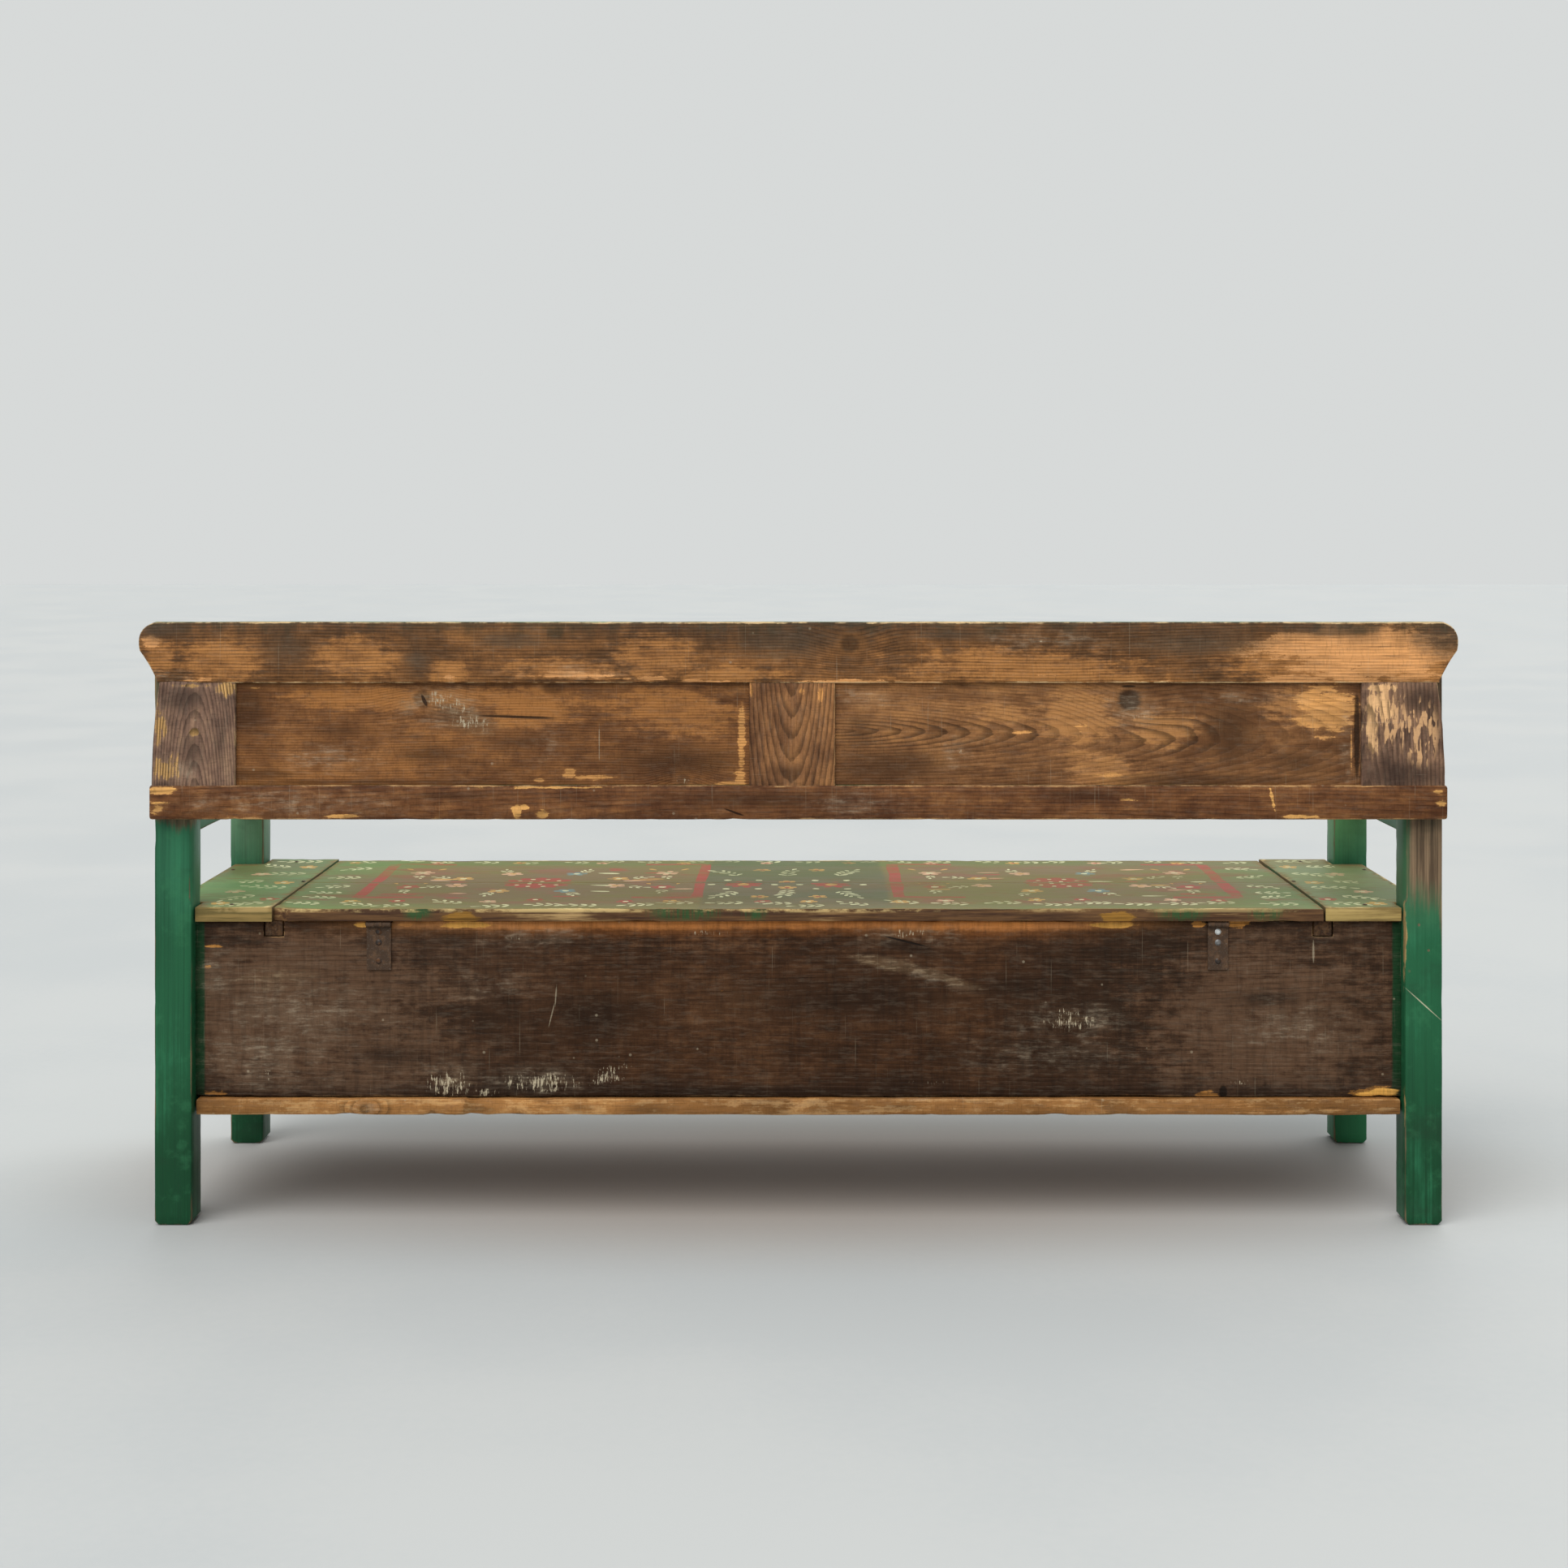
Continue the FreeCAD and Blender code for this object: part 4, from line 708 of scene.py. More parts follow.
bottom_rail_wood = timber(
    "bottom_rail_wood", "x", ((80, 48, 28), (116, 75, 44), (146, 100, 58), (220, 164, 94)), 13.0,
    pitch=200.0, pith=(0.60, 0.2, 0.02, 0.04),
    bare=[(196, 974, 18, 5), (196, 996, 14, 9, 0.7), (637, 1001, 5, 8), (646, 994, 5, 3), (668, 1004, 8, 5),
          (690, 970, 80, 1.8, 0.7), (1772, 976, 9, 5, 0.7), (1776, 990, 8, 5, 0.7),
          (1568, 984, 1.8, 13, 0.8, 12), (420, 1006, 20, 2), (1600, 1006, 20, 2), (1390, 985, 14, 2.5, 0.6)],
    dark=[(940, 985, 120, 14, 0.6), (1330, 980, 60, 10, 0.6), (560, 980, 60, 8, 0.5)],
    pale=[(420, 992, 14, 6), (280, 990, 50, 10), (370, 990, 130, 16, 0.7), (1056, 992, 50, 12)],
    hatch=[(1056, 992, 46, 9, -0.1)],
    cracks=[(905, 1001, 12, 1.2, 1, -20)],
    wear=0.35, rim=0.2, lines=0.24, extra=green_front)

back_board_wood = timber(
    "back_board_wood", "x", ((47, 31, 19), (65, 44, 29), (88, 64, 46), (206, 142, 70)), 17.0, pitch=190.0,
    pith=(0.30, 0.5, 0.08, 0.02), scale=BOARD_SCALE, face_y=BOARD_FACE,
    bare=[(572, 1139, 40, 4), (448, 1138, 14, 4, 0.8), (500, 1139, 8, 3), (1372, 1138, 30, 4),
          (1526, 1138, 16, 4), (1478, 1138, 8, 4), (264, 1166, 12, 2), (256, 1192, 5, 2),
          (1696, 1351, 30, 8, 1.3), (264, 1348, 24, 4, 0.7), (1490, 1351, 14, 6),
          (1200, 1139, 130, 2.5, 0.4), (960, 1139, 80, 2, 0.4)],
    dark=[(1115, 1166, 34, 8, 1, -12), (900, 1345, 200, 7, 0.7), (1050, 1230, 140, 30, 0.7),
          (1250, 1215, 60, 18, 0.7), (480, 1300, 70, 16, 0.5), (740, 1250, 70, 40, 0.6),
          (1560, 1230, 50, 12, 0.6)],
    pale=[(660, 1154, 60, 10), (1128, 1198, 62, 8, 1, -17), (370, 1250, 130, 50, 0.5),
          (1600, 1270, 90, 40, 0.5), (600, 1215, 80, 30, 0.3), (1300, 1300, 150, 30, 0.4),
          (262, 1200, 40, 50, 0.4), (560, 1320, 60, 24, 0.4), (340, 1300, 110, 44, 0.6),
          (670, 1330, 60, 16), (1320, 1258, 60, 20), (1120, 1150, 50, 12)],
    hatch=[(554, 1336, 24, 15), (666, 1334, 40, 11), (752, 1324, 22, 9, 1, 22), (600, 1346, 12, 4),
           (1318, 1260, 30, 10, 0.8), (1318, 1250, 18, 10, 0.7), (1120, 1150, 40, 8, 0.4),
           (872, 1149, 40, 6, 0.3), (1140, 1334, 50, 6, 0.1), (330, 1325, 8, 10, 0.4),
           (1530, 1335, 20, 6, 0.3), (640, 1156, 40, 5, 0.3)],
    gold=[(370, 1245, 160, 90), (1570, 1250, 170, 90), (900, 1165, 300, 20, 0.2)],
    faded=[(1100, 1189, 52, 8, 1, -12), (1160, 1204, 52, 8, 0.8, -16), (1318, 1256, 34, 14, 0.6),
           (560, 1334, 30, 18, 0.6), (670, 1334, 46, 12, 0.6), (1120, 1148, 44, 9, 0.7),
           (340, 1205, 110, 34, 0.3)],
    scores=[(685, 1226, 0.8, 13, 1, -4), (680, 1250, 0.8, 13, 1, -14), (1619, 1173, 1.2, 13)],
    cracks=[(1508, 1346, 5, 9), (1115, 1160, 26, 1.2, 1, -14)],
    extra=back_board_edges, wear=0.25, rim=0.15, gloss=0.48, scuff=0.5, lines=0.1)

bare_tones = ((134, 92, 50), (160, 112, 63), (182, 132, 76), (204, 154, 94))
bottom_wood = timber(
    "bottom_wood", "x", bare_tones, 21.0, pitch=200.0, pith=(0.1, 0.0, 0.05, 0.02), face="z",
    scale=BOARD_SCALE, face_y=BOTTOM_FACE,
    dark=[(590, 1366, 30, 7, 0.4), (715, 1364, 26, 7, 0.3), (800, 1366, 40, 8, 0.7),
          (1110, 1362, 30, 6, 0.4)],
    pale=[(1130, 1352, 60, 3), (450, 1366, 16, 8)],
    knots=[(450, 1366, 6, 0.6)],
    wear=0.25, rim=0.15, gloss=0.6)
inner_wood = timber(
    "inner_wood", "y", bare_tones, 25.0, face="z",
    extra=dark_ends, wear=0.3, gloss=0.62)
peg_wood = timber(
    "peg_wood", "y", ((76, 50, 30), (118, 80, 46), (146, 102, 60), (176, 130, 80)), 27.0, face="x")


# Green paint over timber

def painted(name, fibre, face, seed, brown_top=False, painted_light_front_post=False, wear=0.8, inner=None):
    """Old green oil paint, brushed along the fibre, rubbed through at the edges."""
    net = Net(name)
    grain = Grain(net, fibre, face, seed)
    brush = brushed_green(net, grain, fibre, seed)
    if painted_light_front_post:
        # Painted light: the heads of the front posts, shaded by the arms and the backrest, and the foot of
        # the right one are painted lighter green.
        head = net.between(net.x, (98, 142, 90), (112, 142, 110), -0.5, 0.5)
        net.coat(net.ramp(net.z + grain.stain_off * 0.1, 0.44, 0.56) * 0.7, head)
        net.coat(net.ramp(net.x, 0.0, -0.5) * net.ramp(net.z, 0.3, 0.2) * 0.9, (44, 112, 72))
    rub = net.attribute("arris") * 0.55 + grain.streak_off * 0.55 + grain.stain_off * 0.75
    nicks = net.specks(70.0, 0.2, 0.05, seed) * net.ramp(grain.cloud, 0.4, 0.55)
    lost = net.most([net.ramp(rub, 0.50, 0.60) * wear, nicks * 0.8])
    edge_pale = net.ramp(rub, 0.60, 0.72) * wear
    if brown_top:
        level = net.z + grain.stain_off * 0.09 + (brush - 0.5) * 0.04
        not_front = net.ramp(net.ny, -0.6, -0.2)
        outer = net.ramp(net.x + grain.stain_off * 0.01, -0.896, -0.906)
        bare_top = outer * net.ramp(level, 0.462, 0.512) * not_front
        hint = net.ramp(net.x, -0.5, 0.0) * net.ramp(level, 0.582, 0.6) * not_front * 0.85
        lost = net.most([lost, bare_top, hint])
        thin_top = net.ramp(net.x, 0.0, -0.5) * net.ramp(level, 0.42, 0.50) * 0.35
        net.coat(thin_top, (66, 72, 42))
        chips = nearness(net, [(1731, 1160, 3, 56), (1730, 1370, 3, 34)], POST_SCALE, POST_FACE)
        edge_pale = net.most([edge_pale, net.ramp(chips + grain.torn * 0.9, 0.0, 0.3) * 0.8])
    wood = net.shade(net.between(grain.streak, (82, 66, 50), (126, 104, 80)), grain.late, 0.25)
    net.coat(lost, wood)
    net.coat(edge_pale, net.between(grain.fibre, (128, 100, 62), (176, 146, 96), 0.3, 0.7))
    if inner:
        net.coat(inner(net), bare_inside(net, grain))
    if brown_top:
        scratch = nearness(net, [(1755, 1238, 29, 0.7, 1, -42)], POST_SCALE, POST_FACE)
        net.coat(net.ramp(scratch + grain.flake_off * 1.2, -0.3, 0.3) * 0.65, (196, 190, 160))
    grime = net.ramp(net.noise((9.0, 9.0, 14.0), 4.0, 0.6, seed + 9.0), 0.52, 0.72) * 0.35
    net.coat(grime, (30, 46, 33))
    height = brush * 0.5 - lost * 0.5 - grain.late * 0.15 + grain.streak * 0.2
    rough = net.ramp(grain.stain, 0.3, 0.7, 0.34, 0.5) + lost * 0.2
    return net.finish(rough, height, 0.0008, 0.5, gleam=0.16)


post_paint = painted("post_paint", "z", "y", 31.0, brown_top=True)
front_post_paint = painted("front_post_paint", "z", "y", 34.0, painted_light_front_post=True)
arm_paint = painted("arm_paint", "y", "z", 37.0)
front_paint = painted("front_paint", "x", "y", 41.0, wear=0.7, inner=lambda net: net.ramp(net.ny, 0.3, 0.6))
side_paint = painted("side_paint", "y", "x", 44.0, wear=0.7,
                     inner=lambda net: net.ramp(net.nx * net.x, -0.2, -0.5))


# Folk painting of the seat, as brush strokes in the mesh of its top

CREAM, RED, OCHRE, PINK, TEAL = 1, 2, 3, 4, 5
INK_COLOURS = {CREAM: (210, 208, 162), RED: (156, 58, 44), OCHRE: (198, 152, 78), PINK: (208, 164, 130),
               TEAL: (104, 132, 128)}
# Where the lid ends on both sides, and the frames of its two fields
LID_END = 0.7735
FRAME_INNER, FRAME_OUTER = 0.155, 0.672
FRAME_LOW_Y, FRAME_HIGH_Y = -0.215, 0.133
# Corners of one stroke, and the area in square metres below which one is left out
PETAL_POINTS, DOT_POINTS, SMALLEST_STROKE = 10, 9, 4e-6
draw = random.Random(7)


def polar(x, y, radius, angle):
    return x + math.cos(angle) * radius, y + math.sin(angle) * radius


class Painting:
    """Collects closed strokes as (points, ink), painted one over the other."""

    def __init__(self):
        self.strokes = []

    def petal(self, x, y, angle, length, width, ink):
        """A brush dab: pointed where the brush lands, round where it lifts."""
        c, s = math.cos(angle), math.sin(angle)
        shape = []
        for i in range(PETAL_POINTS):
            t = i / PETAL_POINTS * math.tau
            along = 0.5 - 0.5 * math.cos(t)
            half = 0.5 * math.sin(t) * (0.35 + 0.65 * along) * (1 + 0.14 * draw.uniform(-1, 1))
            shape.append((x + c * along * length - s * half * width,
                          y + s * along * length + c * half * width))
        self.strokes.append((shape, ink))

    def dot(self, x, y, radius, ink):
        spin = draw.uniform(0, math.tau)
        shape = [polar(x, y, radius * (1 + 0.15 * draw.uniform(-1, 1)), spin + i / DOT_POINTS * math.tau)
                 for i in range(DOT_POINTS)]
        self.strokes.append((shape, ink))

    def ring(self, x, y, radius, count, turn, size):
        """Cream dots in a ring, the first one turned by a share of a step."""
        for i in range(count):
            self.dot(*polar(x, y, radius, (i + turn) / count * math.tau), size, CREAM)

    def bloom(self, x, y, radius, petals, ink, eye):
        spin = draw.uniform(0, math.tau)
        for i in range(petals):
            self.petal(x, y, spin + i / petals * math.tau, radius * draw.uniform(0.85, 1.05),
                       radius * 4.4 / petals, ink)
        self.dot(x, y, radius * 0.3, eye)

    def rosette(self, x, y, radius):
        for ring, petals in ((1.0, 12), (0.62, 8)):
            for i in range(petals):
                angle = (i + 0.5 * (ring < 1)) / petals * math.tau
                self.petal(x, y, angle, radius * ring, radius * 0.56 * ring, RED)
        self.ring(x, y, radius * 0.66, 10, 0.0, 0.004)
        self.ring(x, y, radius * 0.27, 5, 0.5, 0.0038)
        self.dot(x, y, 0.008, OCHRE)

    def sprig(self, x, y, angle, leaves, size):
        """Pairs of cream leaves along a bent line, with one at the tip."""
        bend = draw.uniform(-0.22, 0.22)
        for _ in range(leaves):
            for turn in (0.75, -0.75):
                self.petal(x, y, angle + turn + draw.uniform(-0.15, 0.15), size * draw.uniform(0.8, 1.15),
                           size * 0.5, CREAM)
            x, y = polar(x, y, size * 0.82, angle)
            angle += bend
        self.petal(x, y, angle, size, size * 0.5, CREAM)

    def band(self, x0, y0, x1, y1, width, ink):
        """A brushed line in short lengths, with wavering edges."""
        along = Vector((x1 - x0, y1 - y0))
        across = Vector((-along.y, along.x)).normalized() * width / 2
        parts = max(2, int(along.length / 0.05))
        tops, bottoms = [], []
        for i in range(parts + 1):
            middle = Vector((x0, y0)) + along * (i / parts)
            tops.append(tuple(middle + across * draw.uniform(0.7, 1.15)))
            bottoms.append(tuple(middle - across * draw.uniform(0.7, 1.15)))
        self.strokes.append((bottoms + tops[::-1], ink))


painting = Painting()
smear = random.Random(11)
# The two framed fields, each round a rosette
for side in (1, -1):
    inner, outer = FRAME_INNER * side, FRAME_OUTER * side
    middle_x = (inner + outer) / 2
    for x in (inner, outer):
        painting.band(x, FRAME_LOW_Y, x, FRAME_HIGH_Y, 0.020, RED)
        for y in (FRAME_LOW_Y, FRAME_HIGH_Y):
            painting.band(x, y, x - math.copysign(0.1, x - middle_x), y, 0.016, RED)
    painting.rosette(middle_x, -0.012, 0.058)
    for turn in range(8):
        angle = (turn + 0.5) / 8 * math.tau
        px, py = middle_x + math.cos(angle) * 0.135, -0.02 + math.sin(angle) * 0.098
        painting.bloom(px, py, 0.019, 5, (PINK, OCHRE, TEAL)[turn % 3], (OCHRE, CREAM, CREAM)[turn % 3])
        painting.sprig(px + math.cos(angle) * 0.024, py + math.sin(angle) * 0.018, angle, 2, 0.014)
    for number in range(16):
        px = middle_x + (0.08 + 0.135 * smear.random()) * smear.choice((-1, 1))
        py = smear.uniform(-0.19, 0.15)
        angle = smear.choice((0.0, math.pi)) + smear.uniform(-0.15, 0.15)
        painting.petal(px, py, angle, smear.uniform(0.026, 0.044), smear.uniform(0.012, 0.018),
                       (PINK, OCHRE, RED, CREAM, RED)[number % 5])
    for y, angle in ((-0.17, 0.2), (-0.068, -0.2), (0.02, 0.3), (0.09, 0.0), (0.135, -0.1)):
        painting.sprig(side * 0.705, y, angle if side > 0 else math.pi - angle, 3, 0.016)
    painting.petal(side * 0.645, 0.1, 0.0 if side < 0 else math.pi, 0.06, 0.022, RED)
    for x in (middle_x - 0.2, middle_x + 0.2):
        for y in (-0.12, 0.03):
            painting.bloom(x, y, 0.021, 6, RED if y > 0 else PINK, CREAM)
            painting.sprig(x, y + 0.03, 1.57, 2, 0.013)
            painting.petal(x - 0.02, y - 0.03, -2.2, 0.02, 0.011, OCHRE)
            painting.petal(x + 0.02, y - 0.03, -0.9, 0.02, 0.011, OCHRE)
# The borders along the rear and front edges
for number in range(22):
    x = -0.74 + number * 0.069
    lean = draw.uniform(-0.35, 0.35)
    painting.sprig(x + draw.uniform(-0.015, 0.015), draw.uniform(0.180, 0.210), lean, 3, 0.017)
    painting.sprig(x + draw.uniform(-0.015, 0.015), draw.uniform(-0.251, -0.235), lean, 2, 0.016)
    if number % 3:
        ink = (OCHRE, RED, PINK)[number % 5 % 3]
        painting.bloom(x + 0.035, draw.uniform(0.155, 0.175), 0.015, 5, ink, CREAM)
    if number % 2:
        painting.bloom(x + 0.035, -0.232, 0.013, 5, (OCHRE, PINK)[number % 4 // 2], RED)
# The middle field
for x in (0.088, -0.052):
    painting.bloom(x, 0.005, 0.033, 8, RED, OCHRE)
    painting.ring(x, 0.005, 0.05, 6, 0.0, 0.006)
for x, y, angle in ((0.018, 0.06, 1.57), (0.018, -0.09, -1.57), (0.10, 0.075, 1.2), (-0.065, 0.075, 1.9),
                    (0.10, -0.09, -1.2), (-0.065, -0.09, -1.9)):
    painting.sprig(x, y, angle, 4, 0.018)
for x, y in ((0.018, -0.02), (0.018, 0.035), (0.06, 0.125), (-0.03, 0.125), (0.06, -0.15), (-0.03, -0.15)):
    painting.bloom(x, y, 0.016, 5, OCHRE, RED)
# The seat ends
for side in (1, -1):
    for x, y, angle in ((0.80, 0.20, 0.3), (0.83, 0.13, 0.6), (0.80, 0.05, -0.2), (0.85, -0.02, 0.5),
                        (0.80, -0.10, 0.2), (0.84, -0.17, -0.3), (0.80, -0.235, 0.1)):
        painting.sprig(side * x, y, angle if side > 0 else math.pi - angle, 4, 0.018)
    for x, y, ink in ((0.865, 0.205, OCHRE), (0.80, 0.165, RED), (0.87, 0.09, PINK), (0.815, 0.0, OCHRE),
                      (0.87, -0.09, PINK), (0.81, -0.17, OCHRE)):
        painting.bloom(side * x, y, 0.017, 5, ink, CREAM)


def strokes_in(low, high):
    """The strokes cut to a rectangle, left out where little is left."""
    made = []
    for polygon, ink in painting.strokes:
        points = list(polygon)
        for axis in (0, 1):
            for bound, sign in ((low[axis], 1), (high[axis], -1)):
                cut = []
                for a, b in zip(points, points[1:] + points[:1]):
                    da, db = sign * (a[axis] - bound), sign * (b[axis] - bound)
                    if da >= 0:
                        cut.append(a)
                    if (da >= 0) != (db >= 0):
                        t = da / (da - db)
                        cut.append((a[0] + (b[0] - a[0]) * t, a[1] + (b[1] - a[1]) * t))
                points = cut
        if len(points) > 2:
            area = sum(a[0] * b[1] - b[0] * a[1] for a, b in zip(points, points[1:] + points[:1])) / 2
            if abs(area) > SMALLEST_STROKE:
                made.append((points if area > 0 else points[::-1], ink))
    return made


def seat_paint(name, seed, end_board):
    """Thin old oil colours on the seat: a worn green ground, the strokes, and the bare edges."""
    net = Net(name)
    grain = Grain(net, "x", "z", seed)
    rub = net.noise((26.0, 150.0, 150.0), 4.0, 0.7, seed + 4.0)
    if end_board:
        net.colour = net.between(grain.stain, (88, 122, 72), (112, 142, 90))
        net.coat(net.ramp(net.x, 0.0, -0.5) * 0.5, (132, 128, 92))
    else:
        streaky = grain.stain + grain.streak_off * 0.4
        net.colour = net.between(streaky, (112, 93, 53), (114, 108, 59), 0.36, 0.64)
        rim = net.ramp(abs(net.y) + grain.stain_off * 0.08, 0.17, 0.225)
        net.coat(rim * 0.6, (90, 110, 57))
        ends = net.ramp(abs(net.x) + grain.stain_off * 0.2, 0.62, 0.75)
        net.coat(ends * 0.7, (96, 124, 72))
        blush = net.noise((7.0, 13.0, 13.0), 3.0, 0.6, seed + 6.0) + (rub - 0.5) * 0.2
        blush = net.ramp(blush, 0.53, 0.62) * net.ramp(abs(net.y), 0.21, 0.17)
        net.coat(blush * 0.5, (132, 72, 54))
        middle_field = net.ramp(abs(net.x - 0.006) + grain.stain_off * 0.02, 0.15, 0.138)
        net.coat(middle_field * 0.7, (80, 90, 60))
    net.coat(net.ramp(grain.cloud + grain.flake_off * 0.5, 0.55, 0.35) * 0.5, (112, 92, 60))
    ink = net.attribute("ink")
    swatch = net.node("ValToRGB", [ink * 0.1])
    inks = swatch.socket.node.color_ramp
    inks.interpolation = "CONSTANT"
    inks.elements[0].position, inks.elements[0].color = 0.0, linear(INK_COLOURS[CREAM])
    inks.elements[1].position, inks.elements[1].color = 0.15, linear(INK_COLOURS[RED])
    for number in (OCHRE, PINK, TEAL):
        inks.elements.new(0.1 * number - 0.05).color = linear(INK_COLOURS[number])
    covered = net.ramp(ink, 0.4, 0.6) * net.ramp(rub * 0.6 + grain.stain * 0.45, 0.64, 0.46, 0.18, 0.92)
    net.coat(covered, swatch)
    wood = net.between(grain.streak, (84, 62, 42), (140, 106, 68))
    arris = net.attribute("arris")
    thin = net.ramp(rub * 0.55 + grain.streak * 0.5 + grain.flake_off * 0.3 + arris * 0.24, 0.58, 0.72)
    net.coat(thin * 0.7, wood)
    worn = net.ramp(arris * 0.6 + grain.stain_off * 1.3 + grain.flake_off * 0.8, 0.46, 0.64)
    worn = worn * net.ramp(abs(abs(net.x) - LID_END), 0.006, 0.014, 0.15, 1.0)
    net.coat(worn * 0.85, (208, 186, 132))
    top = net.colour
    # The rear edge: olive at the ends, dark along the lid, with drips of green and bare scars
    if end_board:
        olive = net.ramp(grain.streak + grain.stain_off * 0.7, 0.4, 0.62)
        net.colour = net.between(net.x, net.mix(olive, (121, 101, 60), (164, 140, 86)),
                                 net.mix(olive, (98, 85, 49), (138, 115, 69)), -0.5, 0.5)
    else:
        net.colour = net.between(grain.streak, (64, 44, 32), (104, 75, 48))
        net.coat(net.ramp(grain.stain * 0.6 + grain.streak * 0.5, 0.58, 0.7) * 0.85, (172, 142, 96))
        runs = net.noise((190.0, 2.0, 9.0), 2.0, 0.6, seed + 8.0)
        for px, half in ((516, 16), (845, 42), (1455, 30), (1560, 20), (930, 14)):
            centre = (MIDDLE_PX - px) / BOARD_SCALE, LID_FACE, 0.462
            drip = net.spot(centre, (half / BOARD_SCALE, 0.02, 0.014), (runs - 0.5) * 2.2)
            net.coat(drip * net.ramp(runs, 0.36, 0.56, 0.2, 0.85), (42, 78, 44))
        gold = net.between(grain.streak, (96, 68, 28), (152, 110, 46), 0.4, 0.6)
        for px in (568, 1377):
            centre = (MIDDLE_PX - px) / BOARD_SCALE, LID_FACE, 0.4515
            scar = net.spot(centre, (22 / BOARD_SCALE, 0.02, 0.010),
                            grain.streak_off * 1.2 + grain.flake_off * 1.4, 0.12)
            net.coat(scar * 0.85, gold)
    crest = worn * net.ramp(net.z, 0.4585, 0.4625) * net.ramp(net.x, -0.35, 0.05, 0.5, 1.0)
    net.coat(crest * (0.3 if end_board else 0.8), (202, 174, 118))
    edge = net.colour
    below = net.shade(net.between(grain.streak, (124, 88, 54), (168, 126, 80)), grain.late, 0.28)
    # The other edges, then the rear edge, the underside and the top over them
    net.colour = net.between(grain.stain, (70, 92, 58), (104, 84, 56), 0.4, 0.6)
    net.coat(net.ramp(net.ny, 0.4, 0.7), edge)
    net.coat(net.ramp(net.nz, -0.4, -0.7), below)
    net.coat(net.ramp(net.nz, 0.45, 0.75), top)
    net.darken(net.ramp(grain.fibre, 0.45, 0.25), 0.18)
    height = grain.streak * 0.4 + grain.fibre * 0.25 - grain.late * 0.3 - thin * 0.3 + covered * 0.12
    rough = net.ramp(grain.stain, 0.3, 0.7, 0.46, 0.6) + thin * 0.12
    return net.finish(rough, height, 0.0009, 0.55)


lid_paint = seat_paint("lid_paint", 51.0, False)
end_paint = seat_paint("end_paint", 55.0, True)


# Iron

def iron(name, seed):
    """Blackened iron with rust blooms and rubbed high places."""
    net = Net(name)
    rust = net.noise(90.0, 5.0, 0.65, seed)
    pit = net.noise(420.0, 3.0, 0.6, seed + 3.0)
    net.colour = net.between(rust, (68, 53, 42), (94, 71, 53), 0.44, 0.70)
    net.coat(net.ramp(pit, 0.56, 0.7) * 0.35, (126, 118, 108))
    return net.finish(net.ramp(rust, 0.4, 0.65, 0.42, 0.7), rust * 0.6 + pit * 0.5, 0.0006, 0.7, 0.2)


def screw_heads():
    """Screws gone dark, except two bare heads on the right strap, near its top and below it, whose pale tones
    are partly painted highlight.
    """
    net = Net("screw_iron")
    rust = net.noise(120.0, 4.0, 0.6, 65.0)
    net.colour = net.between(rust, (62, 56, 52), (92, 64, 44), 0.45, 0.62)
    # The two pale heads: bare metal, with a painted highlight in their tone, brightest on the upper one.
    for z, share, tone in ((0.4299, 1.0, (196, 198, 196)), (0.4139, 0.7, (126, 128, 128))):
        head = net.spot((-0.622, 0.2355, z), (0.008, 0.03, 0.008), soft=0.1)
        net.coat(head * share, tone)
    return net.finish(net.ramp(rust, 0.4, 0.6, 0.35, 0.6), rust, 0.0005, 0.5, 0.6)


# Worn boards in place of the plain solids

ARM_UNDERSIDE = 0.573
TOP_LOW, TOP_HIGH = 0.801, 0.891
PANEL_LOW, PANEL_HIGH = 0.652, 0.801
CHEST_LOW, CHEST_HIGH = 0.184, 0.446
POSTS_FRONT, POSTS_REAR = -0.2065, 0.1975
# How far an end runs into the piece it is joined to
JOINT = 0.004
# The chamfer above the seat: its width, where it starts and how long its stop is
CHAMFER, CHAMFER_START, CHAMFER_STOP = 0.009, 0.476, 0.008
# The field of a panel: where its slope begins, how wide the slope is and how deep
FIELD_EDGE, FIELD_SLOPE, FIELD_DEPTH = 0.009, 0.022, 0.004


def chamfered_post(side):
    """Cuts the stopped chamfer above the seat on a back post's inner rear edge."""
    low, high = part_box(f"back_post_{side}")
    inner, outward = (low.x, 1) if side == "left" else (high.x, -1)

    def shape(points):
        missing = np.clip(CHAMFER - np.abs(points[:, 0] - inner) - (high.y - points[:, 1]), 0, None) / 2
        missing *= np.clip((points[:, 2] - CHAMFER_START) / CHAMFER_STOP, 0, 1)
        points[:, 0] += missing * outward
        points[:, 1] -= missing
        return points

    return shape


def fielded(node):
    """Lowers the front of a panel round its raised field."""
    low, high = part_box(node)

    def shape(points):
        off = np.minimum.reduce([points[:, 0] - low.x, high.x - points[:, 0],
                                 points[:, 2] - low.z, high.z - points[:, 2]])
        plate = low.y + FIELD_DEPTH - FIELD_DEPTH * np.clip((off - FIELD_EDGE) / FIELD_SLOPE, 0, 1)
        points[:, 1] = np.maximum(points[:, 1], plate)
        return points

    return shape


def upright(low_x, high_x, low_z, high_z, top_cut):
    """A post's outline, with its foot and head cut at the corners."""
    foot = 0.006
    return [(low_x + foot, low_z), (high_x - foot, low_z), (high_x, low_z + foot), (high_x, high_z - top_cut),
            (high_x - top_cut, high_z), (low_x + top_cut, high_z), (low_x, high_z - top_cut),
            (low_x, low_z + foot)]


def curve(first, through, last, parts=8):
    """Points on the arc from first to last that passes through a middle point, without its last."""
    a, b, c = (Vector(p) for p in (first, through, last))
    middle = b * 2 - (a + c) / 2
    return [tuple((a * (1 - t) + middle * t) * (1 - t) + (middle * (1 - t) + c * t) * t)
            for t in (i / parts for i in range(parts))]


def mirrored(outline):
    """The same outline on the other side, still counter-clockwise."""
    return [(-x, z) for x, z in reversed(outline)]


